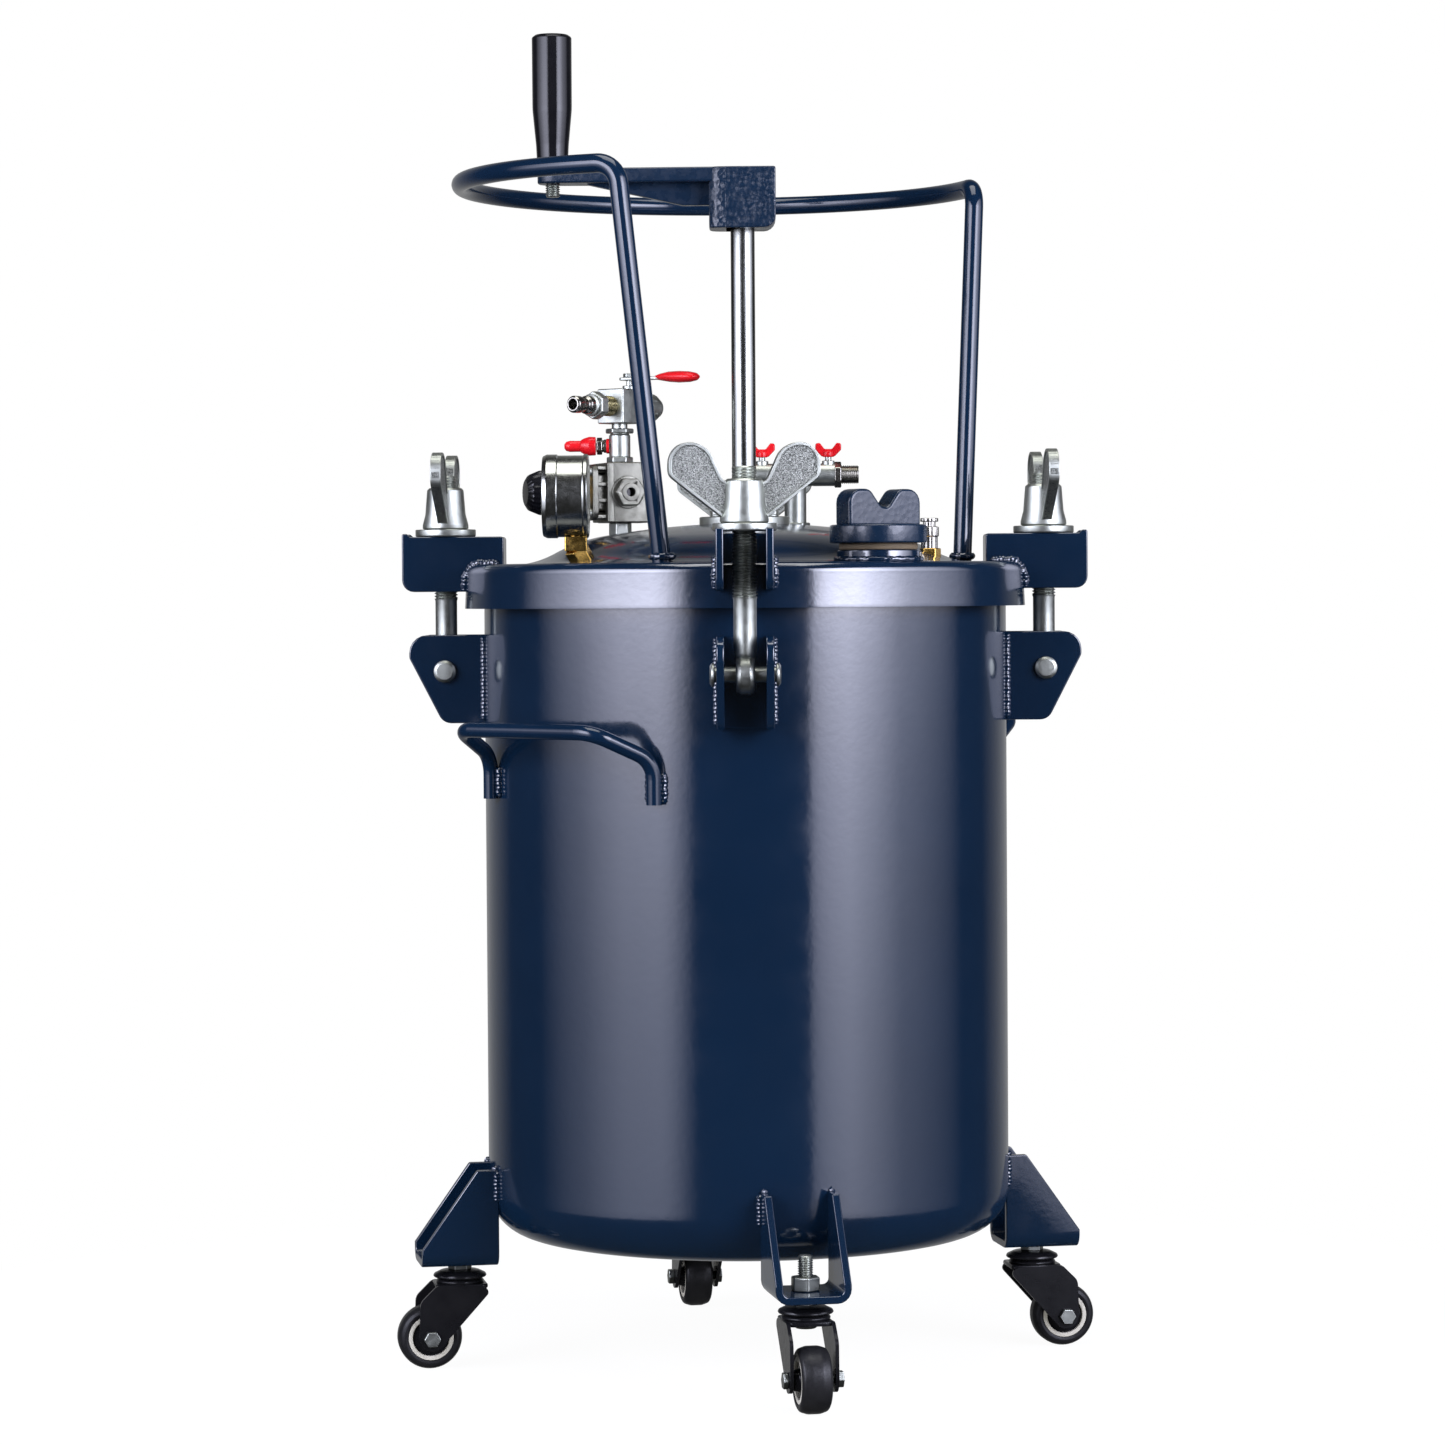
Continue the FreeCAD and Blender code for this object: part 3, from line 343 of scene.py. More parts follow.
def drill(piece, radius, low, high, where=None):
    """Cuts a round hole along Z, or along a transform's Z."""
    tool = rod("drill", radius, low, high, "zinc", 48)
    if where:
        place(tool, where)
    modifier = piece.modifiers.new("Hole", "BOOLEAN")
    modifier.operation = "DIFFERENCE"
    modifier.object = tool
    modifier.solver = "EXACT"
    apply(piece, modifier)
    bpy.data.objects.remove(tool)
    return piece


def arc(centre, first, last, steps):
    """Points round a centre from the first to the last, the short way."""
    start = first - centre
    sweep = -start.angle_signed(last - centre)
    turns = [sweep * step / steps for step in range(steps + 1)]
    return [centre + Vector((start.x * math.cos(turn) - start.y * math.sin(turn),
                             start.x * math.sin(turn) + start.y * math.cos(turn)))
            for turn in turns]


def rounded(corners, closed=False, steps=5):
    """An outline whose corners, given as (across, up, radius), are rounded; without a radius a
    corner stays sharp. Sizes are in millimetres, the result in metres."""
    points = []
    count = len(corners)
    for index, corner in enumerate(corners):
        here = Vector(corner[:2]) * MM
        if len(corner) == 2 or (not closed and index in (0, count - 1)):
            points.append(here)
            continue
        radius = corner[2] * MM
        back = (Vector(corners[index - 1][:2]) * MM - here).normalized()
        ahead = (Vector(corners[(index + 1) % count][:2]) * MM - here).normalized()
        half = back.angle(ahead) / 2
        reach = radius / math.tan(half)
        centre = here + (back + ahead).normalized() * (radius / math.sin(half))
        points += arc(centre, here + back * reach, here + ahead * reach, steps)
    return points


def bowed(corners, steps=12):
    """An outline of (across, up) or (across, up, radius) in millimetres; a radius bends the
    stretch to the next corner, to the left if positive."""
    points = []
    for corner, following in zip(corners, corners[1:] + corners[:1]):
        first, last = Vector(corner[:2]) * MM, Vector(following[:2]) * MM
        if len(corner) == 2:
            points.append(first)
            continue
        radius = corner[2] * MM
        chord = last - first
        across = Vector((-chord.y, chord.x)).normalized()
        depth = math.sqrt(max(radius ** 2 - (chord.length / 2) ** 2, 0.0))
        centre = (first + last) / 2 + across * math.copysign(depth, radius)
        points += arc(centre, first, last, steps)[:-1]
    return points


def lathe(name, corners, finish, steps=48, closed=False, smooth=35, flutes=(0, 0.0)):
    """A piece turned about Z from an outline of (radius, height, corner radius) in millimetres, or
    of ready points. flutes is how many grooves run round it, and how deep as a share of its size."""
    profile = corners if isinstance(corners[0], Vector) else rounded(corners, closed)
    count = len(profile)
    vertices, faces = [], []
    for step, angle in enumerate(full_turn(steps)):
        size = 1 - flutes[1] * (0.5 - 0.5 * math.cos(flutes[0] * angle))
        vertices += [(point.x * size * math.cos(angle), point.x * size * math.sin(angle), point.y)
                     for point in profile]
        here, after = step * count, (step + 1) % steps * count
        for index in range(count if closed else count - 1):
            following = (index + 1) % count
            faces.append((here + index, after + index, after + following, here + following))
    return add_piece(name, vertices, faces, finish, smooth)


def rod(name, radius, low, high, finish, steps, *edge):
    """A round bar about Z in millimetres; edge, if given, is the radius that rounds its ends."""
    return lathe(name, [(0, low), (radius, low, *edge), (radius, high, *edge), (0, high)], finish, steps)


def prism(name, corners, low, high, finish, edge=0.4, segments=2):
    """A plate from a closed outline in millimetres, between two heights, with rounded edges."""
    outline = rounded(corners, closed=True)
    count = len(outline)
    vertices = [(point.x, point.y, low * MM) for point in outline]
    vertices += [(point.x, point.y, high * MM) for point in outline]
    faces = [tuple(range(count))[::-1], tuple(range(count, 2 * count))]
    faces += [(index, (index + 1) % count, count + (index + 1) % count, count + index)
              for index in range(count)]
    piece = add_piece(name, vertices, faces, finish)
    return bevel(piece, edge, segments) if edge else piece


def mirrored(half):
    """An outline from its lower half, which is mirrored upwards."""
    return half + [(across, -up, *rest) for across, up, *rest in reversed(half)]


def rectangle(half_x, half_y, radius):
    return mirrored([(-half_x, -half_y, radius), (half_x, -half_y, radius)])


def hexagon(name, flats, low, high, finish, edge=0.6):
    """A chamfered hexagonal nut or head about Z, in millimetres."""
    radius = flats / math.sqrt(3)
    corners = [(radius * math.cos(math.pi / 3 * side), radius * math.sin(math.pi / 3 * side))
               for side in range(6)]
    return prism(name, corners, low, high, finish, edge)


def tube(sections, name, finish, closed=False, smooth=60):
    """A skin over rings of points that all have the same count."""
    sides, count = len(sections[0]), len(sections)
    vertices = [point for section in sections for point in section]
    faces = []
    for index in range(count if closed else count - 1):
        here, after = index * sides, (index + 1) % count * sides
        faces += [(here + side, here + (side + 1) % sides, after + (side + 1) % sides, after + side)
                  for side in range(sides)]
    if not closed:
        faces += [tuple(range(sides))[::-1], tuple(range((count - 1) * sides, count * sides))]
    return add_piece(name, vertices, faces, finish, smooth)


def swept(name, path, radius_at, finish, sides=14, closed=False):
    """A round piece along a path; radius_at gives its radius at each station and side."""
    sections = []
    across = None
    count = len(path)
    for index, point in enumerate(path):
        before = path[index - 1] if index or closed else path[0]
        after = path[(index + 1) % count] if index + 1 < count or closed else path[-1]
        tangent = (after - before).normalized()
        if across is None:
            across = tangent.orthogonal().normalized()
        across = (across - tangent * across.dot(tangent)).normalized()
        upward = tangent.cross(across)
        sections.append([point + (across * math.cos(turn) + upward * math.sin(turn))
                         * radius_at(index, side) for side, turn in enumerate(full_turn(sides))])
    return tube(sections, name, finish, closed)


def stepped(points, spacing):
    """Evenly spaced points along straight runs between the given ones."""
    result = []
    for start, end in zip(points, points[1:]):
        steps = max(1, round((end - start).length / spacing))
        result += [start.lerp(end, step / steps) for step in range(steps)]
    return result + [points[-1]]


def circle_path(centre, radius, steps=48):
    return [centre + Vector((radius * math.cos(angle), radius * math.sin(angle), 0))
            for angle in full_turn(steps)]


def weld(path, radius, closed=False):
    """A rippled weld bead, laid as overlapping drops along a path."""
    drop = 2.6 * MM
    stations = path if closed else stepped(path, 0.65 * MM)
    travelled, total = [], 0.0
    for index, point in enumerate(stations):
        total += (point - stations[index - 1]).length if index else 0
        travelled.append(total)

    def radius_at(index, side):
        phase = travelled[index] / drop % 1
        swell = 0.80 + 0.26 * math.sin(math.pi * phase) ** 0.7
        wander = 1 + 0.10 * math.sin(travelled[index] * 830 + side * 0.9)
        nearest = min(travelled[index], total - travelled[index])
        taper = 1.0 if closed else min(1.0, 0.25 + nearest / radius)
        return radius * swell * wander * taper

    return swept("bead", stations, radius_at, "navy", 12, closed)


def thread(name, radius, pitch, low, high, finish, sides=40, depth=0.61):
    """A threaded rod about Z, in millimetres, with flat crests and a chamfered tip."""
    count = int((high - low) / pitch * 10) + 1
    sections = []
    for index in range(count):
        height = low + (high - low) * index / (count - 1)
        chamfer = radius - depth * pitch + (high - height) * 1.1
        section = []
        for side, angle in enumerate(full_turn(sides)):
            phase = (height / pitch - side / sides) % 1
            flank = min(1.0, max(0.0, abs(phase - 0.5) * 2.6 - 0.15))
            size = min(radius - depth * pitch * flank, chamfer) * MM
            section.append((size * math.cos(angle), size * math.sin(angle), height * MM))
        sections.append(section)
    return tube(sections, name, finish, smooth=50)


def about_axis(angle):
    return Matrix.Rotation(math.radians(angle), 4, "Z")


# ---- pot and lid ----

POT_RADIUS = 176.0
LID_TOP = 538.0
CAP_TURN = 33
CLAMP_ANGLES = {"front": -90, "right": 0, "back": 90, "left": 180}
LEG_ANGLES = {side: angle + 10.4 for side, angle in CLAMP_ANGLES.items()}


def pot():
    """The dished and welded shell with its rolled rim, as one smooth skin inside and out."""
    outline = bowed([
        (0, 74.5, 900), (151.03, 87.27, 30), (176, 116.84), (176, 121), (176, 509), (176, 513),
        (177.5, 516.5), (183.4, 523), (184.4, 525), (184.4, 529.2), (183.6, 529.95), (174.2, 529.95),
        (173.5, 529.2), (173.5, 116.84, -27.5), (150.61, 89.73, -897.5), (0, 77)])
    settle("tank_shell", [lathe("shell", outline, "navy", 192, smooth=30)])


def lid():
    """The pressed lid: dome, flat, rounded corner and a skirt that flares a little downwards."""
    outline = bowed([
        (0, 562, -557), (95, 553.9, -102), (127, 542.5, 67), (152, 535), (184.6, 535), (186, 533),
        (186.3, 508.6), (188.9, 508.6), (188.9, 509.4), (188.8, 511), (187.95, 529.6),
        (187.9, 531.2, 6.5), (181.4, 538),
        (152, 538, -64), (128, 545.5, 105), (95, 556.9, 560), (0, 565)])
    shell = lathe("shell", outline, "navy", 192, smooth=30)
    filler = middle("filler_neck") / MM
    drill(shell, 16, 500, 600, at(filler.x, filler.y))
    settle("lid", [shell])


def filler():
    """The filler's neck and seal, and its cast cap with two rounded lobes to grip."""
    spot = middle("filler_neck") / MM
    seat = at(spot.x, spot.y)
    neck = lathe("neck", [(20, 533), (20, 545.2, 0.4), (26.9, 545.2, 0.8), (26.9, 535)], "navy", 72)
    settle("filler_neck", [place(neck, seat)])
    seal = lathe("seal", [(20.1, 545.4), (25.2, 545.4, 1), (25.6, 547.6, 1), (25.2, 549.7, 1),
                          (20.1, 549.7)], "seal", 72, True)
    settle("filler_gasket", [place(seal, seat)], "filler_gasket")
    low, high = span("filler_cap", 2)
    disc = lathe("disc", [(0, low), (19.2, low, 0.8), (19.9, low + 1, 0.5), (19.9, 549.8),
                          (31.4, 549.8, 1.2), (31.5, 561.6, 1.6), (0, 561.9)], "cast_navy", 96)
    lobes = prism("lobes", [(-28, 560.5), (28, 560.5), (28, high, 9), (11.5, high, 7), (0, 569.8, 5),
                            (-11.5, high, 7), (-28, high, 9)], -8.5, 8.5, "cast_navy", 2.2, 4)
    cap = placed((disc, place(lobes, UPRIGHT)), seat @ about_axis(CAP_TURN))
    settle("filler_cap", cap, "filler_cap")


# ---- clamps ----

CLAMP_RADIUS = middle("washer_right").x / MM
PIVOT_HEIGHT = middle("pivot_pins").z / MM
WASHER_LOW, WASHER_HIGH = span("washer_front", 2)
NUT_BASE = span("wing_nut_front", 2)[0]
BOLT_TOP = span("swing_bolt_front", 2)[1]
NUT_TURNS = {"front": 10, "right": 5, "back": -7, "left": -4}
# One wing of a nut, from the bore outwards: (across, up, corner radius) from the nut's foot.
WING = [(8.1, 25.5), (13.5, 25.5, 7), (23.0, 46.5, 14), (36, 53.2, 14), (48.4, 45, 14),
        (48.6, 30, 7), (14.5, 3.5), (8.1, 3.5)]
WING_OUTLINE = ([(0, 25.5, 9)] + WING[1:-1]
                + [(-across, *rest) for across, *rest in WING[-2:0:-1]])


def at_clamp(side):
    return about_axis(CLAMP_ANGLES[side]) @ at(CLAMP_RADIUS)


def swing_bolt(side):
    """An M16 eye bolt: rounded eye, plain shank, rolled thread above it."""
    eye = lathe("eye", mirrored([(5.05, -6), (11, -6, 2.5), (12.4, -3, 3)]), "zinc", 48, True)
    place(eye, at(0, 0, PIVOT_HEIGHT, FRONT))
    shank = lathe("shank", [(5.6, 8), (7.0, 13, 6), (7.35, 24), (7.35, 47.5), (7.9, 49)], "zinc", 40)
    place(shank, at(0, 0, PIVOT_HEIGHT))
    screw = thread("screw", 7.95, 2.0, PIVOT_HEIGHT + 48.5, BOLT_TOP, "zinc")
    bolt = placed((eye, shank, screw), at_clamp(side))
    settle("swing_bolt_" + side, bolt, "swing_bolt_" + side)


def washer(side):
    ring = lathe("ring", [(8.6, WASHER_LOW, 0.4), (20.4, WASHER_LOW, 1.2), (20.4, WASHER_HIGH, 0.7),
                          (8.6, WASHER_HIGH, 0.4)], "zinc", 64, True)
    settle("washer_" + side, [place(ring, at_clamp(side))], "washer_" + side)


def inset(outline, distance):
    """A closed outline, drawn anticlockwise or clockwise, moved inwards."""
    pairs = list(zip(outline[-1:] + outline[:-1], outline))
    area = sum(before.x * here.y - here.x * before.y for before, here in pairs)
    ahead = outline[1:] + outline[:1]
    moved = []
    for (before, here), after in zip(pairs, ahead):
        tangent = (after - before).normalized()
        moved.append(here + Vector((-tangent.y, tangent.x)) * math.copysign(distance, area))
    return moved


def wing_rim(thickness, width):
    """The raised bright border round the wings."""
    outer = rounded(WING_OUTLINE, True, 8)
    inner = inset(outer, width * MM)
    half = thickness * MM / 2
    corners = ((outer, -half), (inner, -half), (inner, half), (outer, half))
    sections = [[(line[index].x, line[index].y, height) for line, height in corners]
                for index in range(len(outer))]
    return bevel(tube(sections, "rim", "zinc", True, 35), 0.5)


def wing_nut(side):
    """A cast wing nut: bright cone, sandy wings inside a bright border."""
    cone = lathe("cone", [(8.05, 0.1), (14.2, 0.1, 1.0), (15.5, 0.6, 0.8), (15.4, 3.2, 1.5),
                          (13.6, 10), (12.3, 26.5, 1.4), (10.8, 28, 0.8), (8.05, 28)],
                 "zinc", 48, True)
    rim = drill(place(wing_rim(7.0, 2.0), about_axis(90) @ UPRIGHT), 8.06, -10, 60)
    wings = []
    for way in (1, -1):
        outline = [(way * x, *rest) for x, *rest in WING]
        wings.append(place(prism("wing", outline, -2.7, 2.7, "cast", 0), about_axis(90) @ UPRIGHT))
    seat = at_clamp(side) @ at(0, 0, NUT_BASE) @ about_axis(NUT_TURNS[side])
    nut = placed((cone, rim, *wings), seat)
    settle("wing_nut_" + side, nut, "wing_nut_" + side)


def plates(outlines, spans):
    """Upright plates with rounded edges, each from an outline and a span across Y."""
    return [place(prism("plate", outline, low, high, "navy", 0.9, 2), UPRIGHT)
            for outline, (low, high) in zip(outlines, spans)]


def clamp_brackets():
    """Two cheeks and a web for each clamp's bracket on the lid, and likewise on the pot."""
    lid_cheek = [(162, 536.5), (182, 536.5), (185.9, 534.9), (187.2, 531), (187.2, 520, 1),
                 (230.4, 520, 8), (230.4, 559.1, 1.4), (227.2, 559.1, 1.2), (224.8, 557, 1.5),
                 (162, 557, 2)]
    lid_web = [(162, 536.5), (167, 536.5), (167, 556.6), (162, 556.6)]
    pot_cheek = [(174.4, 431.6, 1), (203.5, 431.6, 9), (226, 475.5, 5), (226, 491, 12), (174.4, 491, 1)]
    pot_web = [(175, 432), (180.8, 432), (180.8, 490.6), (175, 490.6)]
    sides = ((13.3, 18.2), (-18.2, -13.3), (-14, 14))
    for name, cheek, web in (("lid_brackets", lid_cheek, lid_web), ("tank_brackets", pot_cheek, pot_web)):
        pieces = []
        for angle in CLAMP_ANGLES.values():
            pieces += placed(plates((cheek, cheek, web), sides), about_axis(angle))
        settle(name, pieces)


def pivot_pins():
    pins = []
    outline = mirrored([(0, -22.6), (5.5, -22.5, 1), (7.3, -21.4, 1), (7.7, -19.6, 0.4), (4.98, -19.4)])
    for side in SIDES:
        pin = lathe("pin", outline, "zinc", 40)
        pins.append(place(pin, at_clamp(side) @ at(0, 0, PIVOT_HEIGHT, FRONT)))
    settle("pivot_pins", pins)


def clamps():
    clamp_brackets()
    pivot_pins()
    for side in SIDES:
        swing_bolt(side)
        washer(side)
        wing_nut(side)


# ---- legs and casters ----

STEM_CIRCLE = 197.5
TRAIL = 20.7
WHEEL_RADIUS = span("caster_wheel_front", 2)[1] / 2


def at_leg(side, across=0.0, height=0.0):
    return about_axis(LEG_ANGLES[side]) @ at(STEM_CIRCLE + across, 0, height)


def leg_brackets():
    """Channels folded from plate, their sides cut to a slope."""
    half, thick, low, top = 24.5, 5.0, 70.0, 134.5
    channel = [(-half, top), (-half, low, 9), (half, low, 9), (half, top), (half - thick, top),
               (half - thick, low + thick, 4), (thick - half, low + thick, 4), (thick - half, top)]
    wall, face = 173.7, 225.2
    slope_foot, slope = Vector((face, 0, 82)) * MM, Vector((52.5, 0, 37.2))
    outwards = Matrix(((0, 0, 1, 0), (1, 0, 0, 0), (0, 1, 0, 0), (0, 0, 0, 1)))
    pieces = []
    for side in SIDES:
        piece = place(prism("leg", channel, wall, face, "navy", 0), outwards)
        shape = bmesh.new()
        shape.from_mesh(piece.data)
        everything = shape.verts[:] + shape.edges[:] + shape.faces[:]
        sliced = bmesh.ops.bisect_plane(shape, geom=everything, plane_co=slope_foot, plane_no=slope,
                                        clear_outer=True)
        rims = [item for item in sliced["geom_cut"] if isinstance(item, bmesh.types.BMEdge)]
        bmesh.ops.edgeloop_fill(shape, edges=rims)
        bmesh.ops.recalc_face_normals(shape, faces=shape.faces)
        shape.to_mesh(piece.data)
        shape.free()
        pieces.append(place(bevel(piece, 0.9), about_axis(LEG_ANGLES[side])))
    settle("leg_brackets", pieces)


def caster_wheel(side):
    """A moulded black tread on an ivory core with a black bearing cap."""
    big = WHEEL_RADIUS
    tread = lathe("tread", mirrored([(15.2, -9.6, 0.6), (17.5, -10, 1.5), (big - 1.6, -8.8, 3.0),
                                     (big, -4, 8)]), "tread", 72, True)
    core = lathe("core", mirrored([(12.3, -9.4, 0.4), (15.15, -9.4, 0.4)]), "ivory", 64, True)
    hub = lathe("hub", mirrored([(3.06, -12.7, 0.3), (6.6, -12.7, 0.8), (7.4, -8.6, 1.5),
                                 (12.2, -7.8, 0.6)]), "black", 56, True)
    seat = at_leg(side, TRAIL, WHEEL_RADIUS) @ at(direction=FRONT)
    settle("caster_wheel_" + side, placed((tread, core, hub), seat), "caster_wheel_" + side)


def caster_fork(side):
    """A pressed steel fork: two cheeks under a dished race, with its axle bolt and nut."""
    cheek = [(-16.5, 55.5, 4), (-17.6, 51, 3), (0.6, 30.8, 6), (11.6, 18.6, 3), (16.5, 13.2, 6),
             (26.5, 13.4, 8), (29.2, 22, 8), (28.4, 46, 8), (17, 57.2, 6)]
    pieces = [place(prism("cheek", cheek, low, low + 2.4, "black_paint", 0.7, 3), UPRIGHT)
              for low in (13.4, -15.8)]
    crown = prism("crown", mirrored([(-17.4, -15.6, 4), (17.5, -15.6, 6)]), 54.3, 57.4,
                  "black_paint", 1.1, 3)
    race = lathe("race", [(5.06, 57), (15.6, 57, 1.0), (16, 58.6, 1.0), (14.2, 60.4, 0.8), (5.06, 60.4)],
                 "black_paint", 56, True)
    axle = lathe("axle", [(0, -18.4), (2.4, -18.4, 0.4), (2.98, -17.6, 0.3), (2.98, 18.2), (0, 18.2)],
                 "zinc", 24)
    bolt = [axle, hexagon("head", 10, 15.9, 19.2, "zinc"), hexagon("nut", 10, -19.8, -15.9, "zinc")]
    pieces += [drill(crown, 5.06, 50, 64), race]
    pieces += placed(bolt, at(TRAIL, 0, WHEEL_RADIUS, FRONT))
    settle("caster_fork_" + side, placed(pieces, at_leg(side)), "caster_fork_" + side)


def caster_stems():
    """Each threaded stem with its locknut above the bracket and its black bearing cup below."""
    pieces, nuts = [], []
    for side in SIDES:
        stem = [
            thread("screw", 4.95, 1.5, 75, 97.5, "zinc", 32),
            lathe("shank", [(4.9, 54), (4.9, 76)], "zinc", 32),
            lathe("button", [(0, 51.1), (6.4, 51.1, 1.2), (7.9, 52.6, 0.8), (7.9, 54.2), (0, 54.2)],
                  "zinc", 32),
            hexagon("collar", 14, 66, 70, "zinc"),
            lathe("cup", [(4.9, 60.9), (17.2, 60.9, 0.6), (17.9, 61.8, 0.6), (17.2, 63.2, 0.8),
                          (13.0, 65.2, 1.6), (8.4, 66.1), (4.9, 66.1)], "black_paint", 56, True)]
        pieces += placed(stem, at_leg(side))
        nuts.append(place(hexagon("nut", 17, 75.05, 84, "zinc", 1.0), at_leg(side)))
    settle("caster_stems", pieces)
    settle("caster_stem_nuts", nuts)


def casters():
    leg_brackets()
    for side in SIDES:
        caster_wheel(side)
        caster_fork(side)
    caster_stems()


# ---- welds ----

HANDLE_ANGLES = (-134, 46)
RING_FEET = ((-53.1, -140.1), (148.1, 23.1))


def welds():
    """The bead along every joint that is welded on the real pot."""
    runs = []
    lid_edge, leg_half = 188.5, 24.6
    for angle in CLAMP_ANGLES.values():
        for half in (18.4, -18.4):
            across = math.sqrt(lid_edge ** 2 - half ** 2)
            wall = math.sqrt(POT_RADIUS ** 2 - half ** 2)
            lid_run = [(165, half, LID_TOP + 1), (181, half, LID_TOP + 1),
                       (across - 0.5, half, LID_TOP - 7), (across + 1, half, 521)]
            wall_run = [(wall + 0.8, half, 490), (wall + 0.8, half, 433)]
            blob = [(across + 0.5, half, 523), (across + 0.5, half, 520)]
            runs += [(angle, lid_run, 3.0), (angle, blob, 4.2), (angle, wall_run, 2.2)]
    wall = math.sqrt(POT_RADIUS ** 2 - leg_half ** 2)
    for angle in LEG_ANGLES.values():
        for side in (1, -1):
            down = [(wall + 0.6, side * leg_half, 134), (wall + 0.6, side * leg_half, 113)]
            top = [(wall + 1, side * 24.1, 135), (wall + 1, side * 20, 135)]
            runs += [(angle, down, 2.6), (angle, top, 3.4)]
    for angle in HANDLE_ANGLES:
        for spread in (26.6, 23.4, -23.4, -26.6):
            foot = [(POT_RADIUS + 0.8, 0, 383.5), (POT_RADIUS + 0.8, 0, 404)]
            runs.append((angle + spread, foot, 2.6))
    beads = []
    for angle, path, radius in runs:
        points = [about_axis(angle) @ (Vector(point) * MM) for point in path]
        beads.append(weld(points, radius * MM))
    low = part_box("ring_handle")[0].z
    for x, y in RING_FEET:
        foot = circle_path(Vector((x * MM, y * MM, low + 4 * MM)), 6.6 * MM)
        beads.append(weld(foot, 2.3 * MM, True))
    neck = middle("filler_neck")
    neck_foot = circle_path(Vector((neck.x, neck.y, (LID_TOP + 1.2) * MM)), 27.2 * MM, 160)
    beads.append(weld(neck_foot, 2.0 * MM, True))
    fasten("weld_beads", beads)


# ---- stirrer, gland and crank ----

def stirrer():
    low, high = span("agitator_shaft", 2)
    settle("agitator_shaft", [rod("shaft", 8.12, low, high, "steel", 64, 0.8)], "agitator")
    low, high = span("impeller", 2)
    height = (low + high) / 2
    hub = lathe("hub", [(8.15, height - 12.4), (14, height - 12.4, 1.2), (14, height + 12.4, 1.2),
                        (8.15, height + 12.4)], "steel", 48, True)
    pieces = [hub]
    for turn in (0, 90, 180, 270):
        blade = prism("blade", [(12, -12.2), (56, -12.2, 6), (60, 12.2, 6), (12, 12.2)], -1.5, 1.5,
                      "steel", 0.6)
        pitch = Matrix.Rotation(math.radians(-45), 4, "X")
        pieces.append(place(blade, at(0, 0, height) @ about_axis(turn) @ pitch @ UPRIGHT))
    settle("impeller", pieces, "agitator")


def gland():
    flange = lathe("flange", [(8.22, 563), (30.4, 563), (30.4, 569.4, 1), (20.5, 569.4, 1.5),
                              (18.9, 571, 1.5), (18.9, 587, 1), (16, 589.9, 0.8), (8.22, 589.9)],
                   "zinc", 72, True)
    settle("shaft_gland", [flange])
    screws = []
    for turn in (45, 135, 225, 315):
        seat = about_axis(turn) @ at(24.5)
        head = hexagon("head", 10, 570.3, 573.4, "zinc")
        screws += placed((head, rod("ring", 5.7, 569.4, 570.3, "zinc", 32, 0.2)), seat)
    settle("gland_screws", screws)


def crank():
    """The sand-cast crank with its rib, the handle's screw, and the grip that turns on it."""
    low, top = span("crank_arm", 2)
    tip = span("crank_arm", 0)[0]
    across = middle("crank_screw").x / MM
    hub = prism("hub", [(-12, low, 1), (22.4, low, 8), (22.4, top, 1.5), (-12, top, 1)],
                -18.9, 18.9, "hammered", 1.6, 3)
    nose = prism("nose", mirrored([(-22.4, -18.8, 8), (0, -18.8)]), low, top, "hammered", 1.4, 3)
    arm = prism("arm", mirrored([(-8, -17), (tip, -11.9, 11.8)]), top - 9.9, top, "cast_navy", 1.5, 3)
    rib = prism("rib", [(-12, top - 9), (-106, top - 9), (-104, top - 10.5), (-40, top - 24.8, 6),
                        (-12, top - 24.8)], -3.9, 3.9, "cast_navy", 1.0, 2)
    settle("crank_arm", [place(hub, UPRIGHT), nose, arm, place(rib, UPRIGHT)], "agitator")
    low, high = span("crank_screw", 2)
    screw = thread("screw", 4.95, 1.5, 0, 12, "zinc", 32)
    place(screw, at(0, 0, low + 12) @ Matrix.Rotation(math.pi, 4, "X"))
    shank = lathe("shank", [(4.9, low + 11.5), (4.9, high - 4.9)], "zinc", 32)
    head = lathe("head", [(4.9, high - 5), (7.8, high - 5, 0.5), (7.9, high - 1.5, 1.4),
                          (5.0, high - 0.1), (3.2, high - 0.2), (3.2, high - 2.6), (0, high - 2.6)],
                 "zinc", 40)
    settle("crank_screw", placed((screw, shank, head), at(across)), "agitator")
    low, top = span("crank_grip", 2)
    grip = lathe("grip", [
        (5.1, low + 0.05), (10.0, low + 0.05, 0.8), (10.4, low + 3, 4), (11.0, low + 16, 60),
        (13.3, top - 50, 60), (13.4, top - 1.8, 1.8), (11.0, top, 1.5), (8.5, top, 0.5),
        (8.5, top - 10.2), (5.1, top - 10.2)], "black", 72, True)
    settle("crank_grip", [place(grip, at(across))], "crank_grip")


# ---- gauge ----

